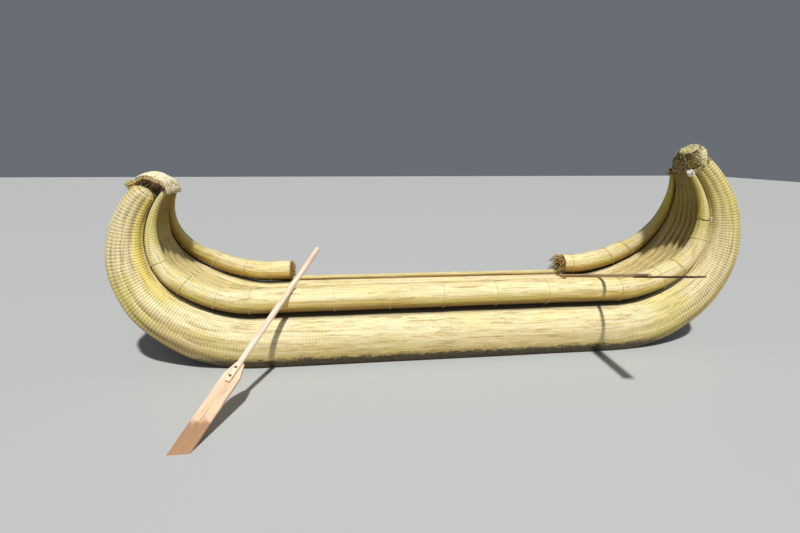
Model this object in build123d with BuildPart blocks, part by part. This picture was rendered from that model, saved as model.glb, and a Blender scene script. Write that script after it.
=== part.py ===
from build123d import *
import os
from math import asin, cos, pi, radians, sin, sqrt

# Reed boat, millimetres. X points to the bow, Z is up, Y to port.
# Z = 0 is the ground under the two hull rolls, X = 0 the middle of the boat.

os.makedirs("parts", exist_ok=True)

# Spine: the line that every roll follows, seen from the side.
STERN_STRAIGHT = 1850
BOW_STRAIGHT = 1790
STERN_RISE_RADIUS = 1480
STERN_RISE_TURN = 43
STERN_CURL_RADIUS = 770
STERN_CURL_TURN = 99.5
BOW_RISE_RADIUS = 1570
BOW_RISE_TURN = 38
BOW_CURL_RADIUS = 955
BOW_CURL_TURN = 101
HULL_BOTTOM_RADIUS = 326

# Rolls. A seat is the clearance between two pieces that are lashed or laid together.
HULL_RIBS = 12
GUNWALE_RIBS = 9
GUNWALE_RIB_DEPTH = 2
GUNWALE_LEAN = 11
FLOOR_ROLLS = 5
SEAT = 0.3

# The port gunwale roll is open between these two places, to step aboard over a thin sill roll.
GAP_STERN_X = -1700
GAP_BOW_X = 1750
SILL_RADIUS = 30

# Cord loops that hold the gunwale rolls down.
LASHING_RADIUS = 4
LASHING_SEAT = 0.8
LASHING_OPENING = 48
STERN_LASHINGS = (-1.3, -0.9, -0.5, -0.1)
MIDDLE_LASHINGS = (0.2, 0.35, 0.5, 0.65, 0.8)
BOW_LASHINGS = (1.1, 1.75, 2.05, 2.4)

# Knots where the gunwale rolls end at the bow.
KNOT_RADIUS = 33
KNOT_LENGTH = 62

# Brush of cut reed ends on the bow. Columns: distance from the roll ends, centre towards the
# inside of the curl, half width, half height.
BRUSH_SECTIONS = (
    (0, 4, 206, 112),
    (55, -10, 212, 138),
    (120, -40, 186, 128),
    (170, -66, 108, 74),
)

# Straw mat folded over the stern tip. Its foot lies on the outer side of the hull rolls, and its
# two side edges sag. In its profiles, seen from the side, X runs on from the end of the spine and
# Y points out of the curl: the outer face from the foot to the lip, then the inner face back.
WRAP_FOOT = -1.88
WRAP_SEAT = 1.2
WRAP_THICKNESS = 26
WRAP_MIDDLE = ((-125, 140), (24, 56), (46, -34), (40, -100), (14, -100), (20, -34), (4, 38), (-130, 112))
WRAP_SIDE = ((-125, 132), (0, 24), (30, -40), (32, -100), (6, -100), (4, -52), (-30, -8), (-128, 104))
WRAP_HALF_WIDTH = 150
WRAP_KNOT_RADIUS = 30
WRAP_KNOT_LENGTH = 105

# Long oar. It leans on the starboard gunwale roll with its blade on the ground.
OAR_REST = 0.085
OAR_SLOPE = 27.9
OAR_SWING = 25.9
OAR_SHAFT_RADIUS = 28
OAR_SHAFT_END_RADIUS = 24
OAR_GRIP_RADIUS = 26
OAR_GRIP_START = 180
OAR_GRIP_TAPER = 60
OAR_HANDLE_REACH = 620
OAR_SHAFT_REACH = 1010
OAR_LAP = 180
OAR_CUT_WIDTH = 100
OAR_BLADE_WIDTH = 145
OAR_BLADE_NECK = 70
OAR_SHOULDER = 120
OAR_BLADE_THICKNESS = 22
OAR_FLAT_DEPTH = 8
OAR_CREST_FLAT = 15
OAR_BOLT_RADIUS = 5
OAR_BOLT_HEAD = 11
OAR_BOLT_HEAD_HEIGHT = 6
OAR_BOLT_DISTANCES = (45, 125)

# Short oar. It lies on the starboard gunwale roll, with its handle on the floor.
SHORT_OAR_RADIUS = 19
SHORT_OAR_SEAT = 0.6
SHORT_OAR_REST = 0.964
SHORT_OAR_HANDLE_REST = 0.96
SHORT_OAR_INBOARD = 780
SHORT_OAR_SHAFT_OUTBOARD = 770
SHORT_OAR_BLADE_START = 630
SHORT_OAR_BLADE_END = 1290
SHORT_OAR_BLADE_WIDTH = 110
SHORT_OAR_BLADE_THICKNESS = 14
SHORT_OAR_FLAT_DEPTH = 6

with BuildLine(Plane.XZ) as keel_line:
    keel = Line((-STERN_STRAIGHT, HULL_BOTTOM_RADIUS), (BOW_STRAIGHT, HULL_BOTTOM_RADIUS))
with BuildLine(Plane.XZ) as bow_line:
    bow_rise = JernArc(keel @ 1, (1, 0), BOW_RISE_RADIUS, BOW_RISE_TURN)
    bow_curl = JernArc(bow_rise @ 1, bow_rise % 1, BOW_CURL_RADIUS, BOW_CURL_TURN)
with BuildLine(Plane.XZ) as stern_line:
    stern_rise = JernArc(keel @ 0, (-1, 0), STERN_RISE_RADIUS, -STERN_RISE_TURN)
    stern_curl = JernArc(stern_rise @ 1, stern_rise % 1, STERN_CURL_RADIUS, -STERN_CURL_TURN)

PIECES = (stern_curl, stern_rise, keel, bow_rise, bow_curl)

# Rows of stations from the stern tip to the straight part, and from there to the bow tip.
# Columns: place along the spine (-2 to -1 is the stern's curl, -1 to 0 its rise, 0 to 1 the
# straight part, 1 to 2 the bow's rise, 2 to 3 its curl), half spacing of the hull rolls, hull
# roll radius, depth of the grooves between its ribs, gunwale roll radius, floor roll radius.
STERN_ROWS = (
    (-2.00, 98, 92, 8, 22, 19),
    (-1.70, 190, 150, 14, 45, 31),
    (-1.35, 310, 210, 17, 75, 44),
    (-1.00, 405, 264, 17, 100, 50),
    (-0.50, 440, 308, 12, 114, 51),
    (0.00, 446, 326, 5, 122, 51),
    (0.085, 444, 326, 4, 122, 51),
)
BOW_ROWS = (
    (0.915, 420, 326, 4, 126, 50),
    (1.00, 418, 326, 5, 126, 50),
    (1.50, 405, 312, 12, 124, 50),
    (2.00, 382, 275, 17, 116, 48),
    (2.33, 330, 220, 18, 86, 44),
    (2.65, 238, 162, 15, 52, 35),
    (2.93, 120, 112, 10, 24, 23),
)
# The hull rolls end short of the stern tip, under the folded mat, and the gunwale rolls end
# short of the bow brush, at a knot.
HULL_STERN_END = -1.91
GUNWALE_BOW_END = 2.915


def sizes_at(place):
    """Row of sizes at a place along the spine, between those of its neighbours."""
    rows = STERN_ROWS + BOW_ROWS
    for first, last in zip(rows, rows[1:]):
        if place <= last[0]:
            share = (place - first[0]) / (last[0] - first[0])
            return [a + share * (b - a) for a, b in zip(first, last)]


def stations(start, end):
    """Places of the rows between start and end, with one more half way to each next row."""
    marks = [start] + [row[0] for row in STERN_ROWS + BOW_ROWS if start < row[0] < end] + [end]
    return marks[:1] + [place for a, b in zip(marks, marks[1:]) for place in ((a + b) / 2, b)]


def stretches(stern_end=STERN_ROWS[0][0], bow_end=BOW_ROWS[-1][0]):
    """The three lofts of a roll. Columns: the sizes at its stations, and if it is straight."""
    straight_start, straight_end = STERN_ROWS[-1][0], BOW_ROWS[0][0]
    return (
        ([sizes_at(place) for place in stations(stern_end, straight_start)], False),
        ([sizes_at(straight_start), sizes_at(straight_end)], True),
        ([sizes_at(place) for place in stations(straight_end, bow_end)], False),
    )


def station_plane(place):
    """Section plane across the spine: its X is to port, its Y into the curl of the boat."""
    number = min(int(place + 2), len(PIECES) - 1)
    share = place + 2 - number
    heading = 1
    if number < PIECES.index(keel):
        share, heading = 1 - share, -1
    return Plane(origin=PIECES[number] @ share, x_dir=(0, 1, 0), z_dir=(PIECES[number] % share) * heading)


def ribbed_outline(centre, radius, ribs, groove, crest_angle):
    """Round outline of bulging ribs, with one rib's crest at crest_angle degrees."""
    half_rib = pi / ribs
    valley = radius - groove
    for rib in range(ribs):
        crest = radians(crest_angle) + 2 * rib * half_rib
        ends = [crest - half_rib, crest + half_rib]
        start, end = [(centre[0] + valley * cos(a), centre[1] + valley * sin(a)) for a in ends]
        ThreePointArc(start, (centre[0] + radius * cos(crest), centre[1] + radius * sin(crest)), end)


def gunwale_centre(half_spacing, hull_radius, gunwale_radius):
    """The gunwale roll lies on the hull roll, a little outboard of its top."""
    reach = hull_radius + gunwale_radius + SEAT
    return half_spacing + reach * sin(radians(GUNWALE_LEAN)), reach * cos(radians(GUNWALE_LEAN))


def floor_height(half_spacing, hull_radius, floor_radius):
    """Height over the spine at which the outer floor roll rests on the hull roll."""
    outer = (FLOOR_ROLLS - 1) * (floor_radius + SEAT / 2)
    return sqrt((hull_radius + floor_radius + SEAT) ** 2 - (half_spacing - outer) ** 2)


def heart_size(half_spacing, hull_radius, floor_radius):
    """Radius and height of the heart roll that touches both hull rolls and the floor."""
    top = floor_height(half_spacing, hull_radius, floor_radius) - floor_radius - SEAT
    reach = hull_radius + SEAT
    radius = (top**2 + half_spacing**2 - reach**2) / (2 * (top + reach))
    return radius, top - radius


# Hull rolls. A rib's crest faces the gunwale roll.
with BuildPart() as hull_roll_port:
    for rows, straight in stretches(stern_end=HULL_STERN_END):
        for place, half_spacing, radius, groove, _, _ in rows:
            with BuildSketch(station_plane(place)):
                with BuildLine():
                    ribbed_outline((half_spacing, 0), radius, HULL_RIBS, groove, 90 - GUNWALE_LEAN)
                make_face()
        loft(ruled=straight)
hull_roll_port.part.label = "hull_roll_port"

with BuildPart() as hull_roll_starboard:
    mirror(objects=hull_roll_port.part, about=Plane.XZ)
hull_roll_starboard.part.label = "hull_roll_starboard"

# Gunwale rolls. The port one is cut in two at the boarding gap.
with BuildPart() as gunwale_roll_whole:
    for rows, straight in stretches(bow_end=GUNWALE_BOW_END):
        for place, half_spacing, radius, _, gunwale_radius, _ in rows:
            centre = gunwale_centre(half_spacing, radius, gunwale_radius)
            with BuildSketch(station_plane(place)):
                with BuildLine():
                    ribbed_outline(centre, gunwale_radius, GUNWALE_RIBS, GUNWALE_RIB_DEPTH, -90 - GUNWALE_LEAN)
                make_face()
        loft(ruled=straight)

with BuildPart() as gunwale_roll_starboard:
    mirror(objects=gunwale_roll_whole.part, about=Plane.XZ)
gunwale_roll_starboard.part.label = "gunwale_roll_starboard"

with BuildPart() as gunwale_roll_port_stern:
    add(gunwale_roll_whole.part)
    split(bisect_by=Plane.YZ.offset(GAP_STERN_X), keep=Keep.BOTTOM)
gunwale_roll_port_stern.part.label = "gunwale_roll_port_stern"

with BuildPart() as gunwale_roll_port_bow:
    add(gunwale_roll_whole.part)
    split(bisect_by=Plane.YZ.offset(GAP_BOW_X), keep=Keep.TOP)
gunwale_roll_port_bow.part.label = "gunwale_roll_port_bow"

# Sill of the boarding gap: a thin roll on the port hull roll, from one gunwale piece to the other.
keel_x = (keel @ 0).X
sill_start, sill_end = [
    (x - keel_x) / keel.length for x in (GAP_STERN_X + SEAT, GAP_BOW_X - SEAT)
]
with BuildPart() as boarding_sill:
    for place in (sill_start, STERN_ROWS[-1][0], BOW_ROWS[0][0], sill_end):
        _, half_spacing, radius, _, _, _ = sizes_at(place)
        with BuildSketch(station_plane(place)):
            with Locations(gunwale_centre(half_spacing, radius, SILL_RADIUS)):
                Circle(SILL_RADIUS)
    loft(ruled=True)
boarding_sill.part.label = "boarding_sill"

# Heart roll, wedged between the hull rolls under the floor.
with BuildPart() as heart_roll:
    for rows, straight in stretches():
        for place, half_spacing, radius, _, _, floor_radius in rows:
            heart_radius, heart_height = heart_size(half_spacing, radius, floor_radius)
            with BuildSketch(station_plane(place)):
                with Locations((0, heart_height)):
                    Circle(heart_radius)
        loft(ruled=straight)
heart_roll.part.label = "heart_roll"

# Floor rolls, side by side over the heart and up the inner faces of both ends.
floor_rolls = []
for number in range(FLOOR_ROLLS):
    with BuildPart() as floor_roll:
        for rows, straight in stretches():
            for place, half_spacing, radius, _, _, floor_radius in rows:
                aside = (number - (FLOOR_ROLLS - 1) / 2) * (2 * floor_radius + SEAT)
                with BuildSketch(station_plane(place)):
                    with Locations((aside, floor_height(half_spacing, radius, floor_radius))):
                        Circle(floor_radius)
            loft(ruled=straight)
    floor_roll.part.label = f"floor_roll_{number + 1}"
    floor_rolls.append(floor_roll)


def lashings(places):
    """Cord loops round a gunwale roll, open where it touches the hull roll."""
    with BuildPart() as loops:
        for place in places:
            _, half_spacing, radius, _, gunwale_radius, _ = sizes_at(place)
            centre = gunwale_centre(half_spacing, radius, gunwale_radius)
            loop_radius = gunwale_radius + LASHING_SEAT + LASHING_RADIUS
            start = -90 - GUNWALE_LEAN + LASHING_OPENING / 2
            with BuildLine(station_plane(place)) as loop:
                CenterArc(centre, loop_radius, start, 360 - LASHING_OPENING)
            with BuildSketch(Plane(origin=loop.line @ 0, z_dir=loop.line % 0)):
                Circle(LASHING_RADIUS)
            sweep(path=loop.line)
    return loops.part


with BuildPart() as gunwale_lashings_starboard:
    mirror(objects=lashings(STERN_LASHINGS + MIDDLE_LASHINGS + BOW_LASHINGS), about=Plane.XZ)
gunwale_lashings_starboard.part.label = "gunwale_lashings_starboard"

with BuildPart() as gunwale_lashings_port:
    add(lashings(STERN_LASHINGS + BOW_LASHINGS))
gunwale_lashings_port.part.label = "gunwale_lashings_port"

# Knots at the bow ends of the gunwale rolls, round their cut ends.
_, half_spacing, radius, _, gunwale_radius, _ = sizes_at(GUNWALE_BOW_END)
reach = radius + KNOT_RADIUS + 2 * SEAT
lean = radians(GUNWALE_LEAN)
knot_plane = station_plane(GUNWALE_BOW_END).offset(SEAT)
with BuildPart() as bow_knot_port:
    with BuildSketch(knot_plane):
        with Locations((half_spacing + reach * sin(lean), reach * cos(lean))):
            Circle(KNOT_RADIUS)
    extrude(amount=KNOT_LENGTH)
    fillet(bow_knot_port.edges(), KNOT_RADIUS / 2)
bow_knot_port.part.label = "bow_knot_port"

with BuildPart() as bow_knot_starboard:
    mirror(objects=bow_knot_port.part, about=Plane.XZ)
bow_knot_starboard.part.label = "bow_knot_starboard"

# Brush of cut reed ends that closes the bow.
brush_base = station_plane(BOW_ROWS[-1][0]).offset(SEAT)
with BuildPart() as bow_brush:
    for distance, centre, half_width, half_height in BRUSH_SECTIONS:
        with BuildSketch(brush_base.offset(distance)):
            with Locations((0, centre)):
                Ellipse(half_width, half_height)
    loft()
bow_brush.part.label = "bow_brush"

# Folded straw mat and its knot on the stern.
wrap_plane = Plane(origin=stern_curl @ 1, x_dir=stern_curl % 1, z_dir=(0, -1, 0))
foot_lift = sizes_at(WRAP_FOOT)[2] * cos(radians(GUNWALE_LEAN)) + WRAP_SEAT
feet = [(0, -foot_lift - WRAP_THICKNESS, 0), (0, -foot_lift, 0)]
outer_foot, inner_foot = [
    wrap_plane.to_local_coords(station_plane(WRAP_FOOT).from_local_coords(foot)) for foot in feet
]
with BuildPart() as stern_wrap:
    for share, profile in ((-1, WRAP_SIDE), (0, WRAP_MIDDLE), (1, WRAP_SIDE)):
        with BuildSketch(wrap_plane.offset(share * WRAP_HALF_WIDTH)):
            with BuildLine():
                ThreePointArc(outer_foot, *profile[:2])
                ThreePointArc(*profile[1:4])
                Line(*profile[3:5])
                ThreePointArc(*profile[4:7])
                ThreePointArc(*profile[6:], inner_foot)
                Line(inner_foot, outer_foot)
            make_face()
    loft()
stern_wrap.part.label = "stern_wrap"

with BuildPart() as stern_knot:
    knot_start = wrap_plane.from_local_coords((outer_foot.X - SEAT, outer_foot.Y))
    with BuildSketch(Plane(origin=knot_start, x_dir=(0, 1, 0), z_dir=-wrap_plane.x_dir)):
        Circle(WRAP_KNOT_RADIUS)
    extrude(amount=WRAP_KNOT_LENGTH)
    fillet(stern_knot.edges(), WRAP_KNOT_RADIUS / 2)
stern_knot.part.label = "stern_knot"

# Long oar: its X runs up the shaft to the handle, its Z away from the gunwale roll.
_, half_spacing, radius, _, gunwale_radius, _ = sizes_at(OAR_REST)
aside, height = gunwale_centre(half_spacing, radius, gunwale_radius)
slope, swing = radians(OAR_SLOPE), radians(OAR_SWING)
oar_run = Vector(sin(swing) * cos(slope), cos(swing) * cos(slope), sin(slope))
oar_up = Vector(1, 0, 0).cross(oar_run).normalized()
roll_axis = station_plane(OAR_REST).from_local_coords((-aside, height, 0))
oar_origin = roll_axis + oar_up * (gunwale_radius + OAR_SHAFT_RADIUS + SEAT)
oar_plane = Plane(origin=oar_origin, x_dir=oar_run, z_dir=oar_up)
blade_top = OAR_LAP - OAR_SHAFT_REACH
bolt_places = [distance - OAR_SHAFT_REACH for distance in OAR_BOLT_DISTANCES]
blade_rise = abs(oar_plane.y_dir.Z) * OAR_BLADE_WIDTH / 2
blade_rise += oar_up.Z * (OAR_FLAT_DEPTH + OAR_BLADE_THICKNESS)
oar_tip = (oar_origin.Z - blade_rise - SEAT) / oar_run.Z


def on_oar(along, over):
    """Plane in line with the long oar, at a place along it and over its centre line."""
    return Plane(origin=oar_plane.from_local_coords((along, 0, over)), x_dir=oar_run, z_dir=oar_up)


with BuildPart() as long_oar_shaft:
    with BuildSketch(Plane(origin=oar_origin, x_dir=oar_run, z_dir=-oar_plane.y_dir)):
        with BuildLine():
            Polyline(
                (-OAR_SHAFT_REACH, 0),
                (-OAR_SHAFT_REACH, OAR_SHAFT_END_RADIUS),
                (0, OAR_SHAFT_RADIUS),
                (OAR_GRIP_START - OAR_GRIP_TAPER, OAR_SHAFT_RADIUS),
                (OAR_GRIP_START, OAR_GRIP_RADIUS),
                (OAR_HANDLE_REACH, OAR_GRIP_RADIUS),
                (OAR_HANDLE_REACH, 0),
                close=True,
            )
        make_face()
    revolve(axis=Axis(oar_origin, oar_run))
    fillet(long_oar_shaft.edges().sort_by(Axis(oar_origin, oar_run))[-1], OAR_GRIP_RADIUS / 2)
    lap_cut = (2 * OAR_LAP, OAR_CUT_WIDTH, OAR_CUT_WIDTH)
    with Locations(on_oar(blade_top, -OAR_FLAT_DEPTH)):
        Box(*lap_cut, align=(Align.MAX, Align.CENTER, Align.MAX), mode=Mode.SUBTRACT)
    with Locations(on_oar(blade_top, OAR_CREST_FLAT)):
        Box(*lap_cut, align=(Align.MAX, Align.CENTER, Align.MIN), mode=Mode.SUBTRACT)
    with Locations(*[on_oar(place, 0) for place in bolt_places]):
        Hole(OAR_BOLT_RADIUS + SEAT)
long_oar_shaft.part.label = "long_oar_shaft"

with BuildPart() as long_oar_blade:
    with BuildSketch(on_oar(0, -OAR_FLAT_DEPTH)):
        with BuildLine():
            Polyline(
                (blade_top, OAR_BLADE_NECK / 2),
                (blade_top - OAR_SHOULDER, OAR_BLADE_WIDTH / 2),
                (-oar_tip, OAR_BLADE_WIDTH / 2),
                (-oar_tip, -OAR_BLADE_WIDTH / 2),
                (blade_top - OAR_SHOULDER, -OAR_BLADE_WIDTH / 2),
                (blade_top, -OAR_BLADE_NECK / 2),
                close=True,
            )
        make_face()
    extrude(amount=-OAR_BLADE_THICKNESS)
    with Locations(*[on_oar(place, 0) for place in bolt_places]):
        Hole(OAR_BOLT_RADIUS + SEAT)
long_oar_blade.part.label = "long_oar_blade"

grip = OAR_CREST_FLAT + OAR_FLAT_DEPTH + OAR_BLADE_THICKNESS
with BuildPart() as long_oar_bolts:
    with Locations(*[on_oar(place, OAR_CREST_FLAT) for place in bolt_places]):
        Cylinder(OAR_BOLT_HEAD, OAR_BOLT_HEAD_HEIGHT, align=(Align.CENTER, Align.CENTER, Align.MIN))
        Cylinder(OAR_BOLT_RADIUS, grip, align=(Align.CENTER, Align.CENTER, Align.MAX))
    with Locations(*[on_oar(place, OAR_CREST_FLAT - grip) for place in bolt_places]):
        Cylinder(OAR_BOLT_HEAD, OAR_BOLT_HEAD_HEIGHT, align=(Align.CENTER, Align.CENTER, Align.MAX))
long_oar_bolts.part.label = "long_oar_bolts"


# Short oar, along the line that touches the tops of the starboard gunwale roll and of the outer
# port floor roll.
_, half_spacing, radius, _, gunwale_radius, _ = sizes_at(SHORT_OAR_REST)
aside, height = gunwale_centre(half_spacing, radius, gunwale_radius)
gunwale_axis = station_plane(SHORT_OAR_REST).from_local_coords((-aside, height, 0))
_, half_spacing, radius, _, _, floor_radius = sizes_at(SHORT_OAR_HANDLE_REST)
aside = (FLOOR_ROLLS - 1) * (floor_radius + SEAT / 2)
height = floor_height(half_spacing, radius, floor_radius)
floor_axis = station_plane(SHORT_OAR_HANDLE_REST).from_local_coords((aside, height, 0))
between = gunwale_axis - floor_axis
toward = between.normalized()
upward = (Vector(0, 0, 1) - toward * toward.Z).normalized()
tilt = asin((gunwale_radius - floor_radius) / between.length)
short_run = toward * cos(tilt) + upward * sin(tilt)
short_up = upward * cos(tilt) - toward * sin(tilt)
short_origin = gunwale_axis + short_up * (gunwale_radius + SHORT_OAR_RADIUS + SHORT_OAR_SEAT)
short_plane = Plane(origin=short_origin, x_dir=short_run, z_dir=short_up)

with BuildPart() as short_oar_shaft:
    shaft_start = short_plane.from_local_coords((-SHORT_OAR_INBOARD, 0, 0))
    with BuildSketch(Plane(origin=shaft_start, z_dir=short_run)):
        Circle(SHORT_OAR_RADIUS)
    extrude(amount=SHORT_OAR_INBOARD + SHORT_OAR_SHAFT_OUTBOARD)
    lap_start = short_plane.from_local_coords((SHORT_OAR_BLADE_START, 0, -SHORT_OAR_FLAT_DEPTH))
    with Locations(Plane(origin=lap_start, x_dir=short_run, z_dir=short_up)):
        Box(
            SHORT_OAR_SHAFT_OUTBOARD,
            OAR_CUT_WIDTH,
            OAR_CUT_WIDTH,
            align=(Align.MIN, Align.CENTER, Align.MAX),
            mode=Mode.SUBTRACT,
        )
short_oar_shaft.part.label = "short_oar_shaft"

with BuildPart() as short_oar_blade:
    blade_length = SHORT_OAR_BLADE_END - SHORT_OAR_BLADE_START
    with Locations(Plane(origin=lap_start, x_dir=short_run, z_dir=short_up)):
        Box(
            blade_length,
            SHORT_OAR_BLADE_WIDTH,
            SHORT_OAR_BLADE_THICKNESS,
            align=(Align.MIN, Align.CENTER, Align.MAX),
        )
short_oar_blade.part.label = "short_oar_blade"

pieces = [hull_roll_port, hull_roll_starboard, gunwale_roll_starboard, gunwale_roll_port_stern]
pieces += [gunwale_roll_port_bow, boarding_sill, heart_roll] + floor_rolls
pieces += [gunwale_lashings_starboard, gunwale_lashings_port, bow_knot_port, bow_knot_starboard]
pieces += [bow_brush, stern_wrap, stern_knot, long_oar_shaft, long_oar_blade, long_oar_bolts]
pieces += [short_oar_shaft, short_oar_blade]
for piece in pieces:
    export_step(piece.part, f"parts/{piece.part.label}.step")
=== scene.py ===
# %% [markdown]
# # A reed boat, finished in Blender
#
# The boat is already built to size: thick hull rolls, gunwale rolls, a floor of slender rolls,
# knots and two oars. That model comes in first, as a fixed frame that nothing here moves.
# Each step below adds the finish of one kind of piece: what the real boat is made of, how it
# could be made, and why it is made this way.

import math

import bpy
import numpy as np
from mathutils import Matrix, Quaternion, Vector


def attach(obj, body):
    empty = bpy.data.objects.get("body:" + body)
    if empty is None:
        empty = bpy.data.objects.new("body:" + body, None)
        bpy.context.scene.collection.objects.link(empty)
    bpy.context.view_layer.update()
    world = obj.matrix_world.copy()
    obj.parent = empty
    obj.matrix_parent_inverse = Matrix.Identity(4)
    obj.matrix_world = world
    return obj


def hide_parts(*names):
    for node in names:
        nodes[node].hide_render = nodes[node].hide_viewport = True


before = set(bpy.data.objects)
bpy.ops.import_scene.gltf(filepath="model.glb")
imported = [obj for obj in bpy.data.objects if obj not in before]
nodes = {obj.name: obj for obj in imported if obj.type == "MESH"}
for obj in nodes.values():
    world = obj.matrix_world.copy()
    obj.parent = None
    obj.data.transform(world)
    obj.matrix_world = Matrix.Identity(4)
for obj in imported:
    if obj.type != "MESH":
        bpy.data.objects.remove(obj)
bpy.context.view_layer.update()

# %% [markdown]
# ## The camera
#
# The camera stands beside the boat, at eye height, and looks slightly down. Its lens is wide,
# so the near side looks long and the two tips lean outwards. It comes first, because every later
# choice of detail depends on what it sees.

# %% Camera
camera = bpy.data.objects.new("camera", bpy.data.cameras.new("camera"))
bpy.context.scene.collection.objects.link(camera)
bpy.context.scene.camera = camera
camera.data.sensor_width = 36
camera.data.lens = 18.45
camera.location = (-0.8658, -4.4087, 2.1855)
camera_aim = Vector((0.0979, 0.9573, -0.2720))
camera.rotation_mode = "QUATERNION"
camera_roll = Quaternion((0, 0, 1), math.radians(0.2))
camera.rotation_quaternion = camera_aim.to_track_quat("-Z", "Y") @ camera_roll
print("camera at", tuple(round(v, 3) for v in camera.location))

# %% [markdown]
# ## Floor and light
#
# The floor is plain and pale and lies at the boat's waterline, so the hull sits as deep in it as
# it does afloat. The main lamp is a sun lamp, because its light is parallel: it stands high
# and a little in front, whitens the tops of the rolls and leaves the insides of both ends in
# shade. It is a few degrees wide, so its shadows are soft. A pale sky and a large lamp fill them.
# The Standard view shows the colours as they are set here, where the default one would grey the
# pale straw.

# %% Floor, lamps and sky
WATERLINE, FLOOR_SIZE = 0.14, 60
LAMP_AIM = Vector((0, 0, 0.6))
SUN_DISTANCE, SUN_POWER, FILL_POWER, SKY_STRENGTH = 5, 3.85, 62, 0.175
bpy.ops.mesh.primitive_plane_add(size=FLOOR_SIZE, location=(0, 0, WATERLINE))
floor = bpy.context.object
floor.name = "studio_floor"
floor_paint = bpy.data.materials.new("studio_floor")
floor_paint.use_nodes = True
floor_shader = floor_paint.node_tree.nodes["Principled BSDF"]
floor_shader.inputs["Base Color"].default_value = (0.44, 0.46, 0.48, 1)
floor_shader.inputs["Roughness"].default_value = 0.6
floor.data.materials.append(floor_paint)


def lamp(name, kind, place, power, colour, **settings):
    """A lamp that points at the boat, with the settings of its kind."""
    made = bpy.data.objects.new(name, bpy.data.lights.new(name, kind))
    bpy.context.scene.collection.objects.link(made)
    made.data.energy = power
    made.data.color = colour
    for key, value in settings.items():
        setattr(made.data, key, value)
    made.location = place
    made.rotation_mode = "QUATERNION"
    made.rotation_quaternion = (LAMP_AIM - Vector(place)).to_track_quat("-Z", "Y")


SUN_AZIMUTH, SUN_HEIGHT, SUN_WIDTH = math.radians(8), math.radians(67.5), math.radians(3)
to_sun = Vector((math.sin(SUN_AZIMUTH), -math.cos(SUN_AZIMUTH), math.tan(SUN_HEIGHT)))
lamp("sun_lamp", "SUN", to_sun * SUN_DISTANCE + LAMP_AIM, SUN_POWER, (1.0, 0.96, 0.88), angle=SUN_WIDTH)
lamp("fill_lamp", "AREA", (1.5, -9.0, 4.0), FILL_POWER, (0.92, 0.96, 1.0), shape="SQUARE", size=6.0)
sky = bpy.data.worlds.new("sky")
sky.use_nodes = True
sky_light = sky.node_tree.nodes["Background"].inputs
sky_light["Color"].default_value = (0.80, 0.88, 1.0, 1)
sky_light["Strength"].default_value = SKY_STRENGTH
bpy.context.scene.world = sky
bpy.context.scene.view_settings.view_transform = "Standard"

# %% [markdown]
# ## The line of the boat
#
# Every roll follows one line in the boat's middle plane: straight underneath, then two arcs up
# to each tip. A place on that line is a plain number: -2 is the stern tip, 0 to 1 is the
# straight part, and 3 is past the bow tip. The rows below say how thick and how far apart the
# rolls are at such places. They are the ones the frame was built from, here in metres, so the
# finished surfaces lie where the frame's do. All lengths in this file are in metres.

# %% Spine and rows
STERN_STRAIGHT, BOW_STRAIGHT = 1.850, 1.790
STRAIGHT_RUN = STERN_STRAIGHT + BOW_STRAIGHT
# Radius, and turn in degrees, of each arc.
STERN_RISE, STERN_CURL = (1.480, 43), (0.770, 99.5)
BOW_RISE, BOW_CURL = (1.570, 38), (0.955, 101)
STERN_TIP, HULL_STERN_END, GUNWALE_BOW_END, BOW_TIP = -2.0, -1.91, 2.915, 2.93
KEEL_HEIGHT = 0.326
# Lean of the gunwale rolls outboard of the hull rolls' tops, and the gap between seated rolls.
LEAN, SEAT = math.radians(11), 0.0003
PORT = np.array([0, 1.0, 0])
# Columns: place, half spacing of the hull rolls, hull radius, depth of the grooves between
# ribs, gunwale radius, floor roll radius.
ROWS = np.array([
    (-2.00, 0.098, 0.092, 0.008, 0.022, 0.019),
    (-1.70, 0.190, 0.150, 0.014, 0.045, 0.031),
    (-1.35, 0.310, 0.210, 0.017, 0.075, 0.044),
    (-1.00, 0.405, 0.264, 0.017, 0.100, 0.050),
    (-0.50, 0.440, 0.308, 0.012, 0.114, 0.051),
    (0.00, 0.446, 0.326, 0.005, 0.122, 0.051),
    (0.085, 0.444, 0.326, 0.004, 0.122, 0.051),
    (0.915, 0.420, 0.326, 0.004, 0.126, 0.050),
    (1.00, 0.418, 0.326, 0.005, 0.126, 0.050),
    (1.50, 0.405, 0.312, 0.012, 0.124, 0.050),
    (2.00, 0.382, 0.275, 0.017, 0.116, 0.048),
    (2.33, 0.330, 0.220, 0.018, 0.086, 0.044),
    (2.65, 0.238, 0.162, 0.015, 0.052, 0.035),
    (2.93, 0.120, 0.112, 0.010, 0.024, 0.023),
])


def arc(start, radius, first_angle, angle, side):
    """Points on a rising arc. side is 1 towards the bow and -1 towards the stern."""
    x = start[0] + side * radius * (np.sin(angle) - np.sin(first_angle))
    z = start[1] + radius * (np.cos(first_angle) - np.cos(angle))
    return x, z


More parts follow.
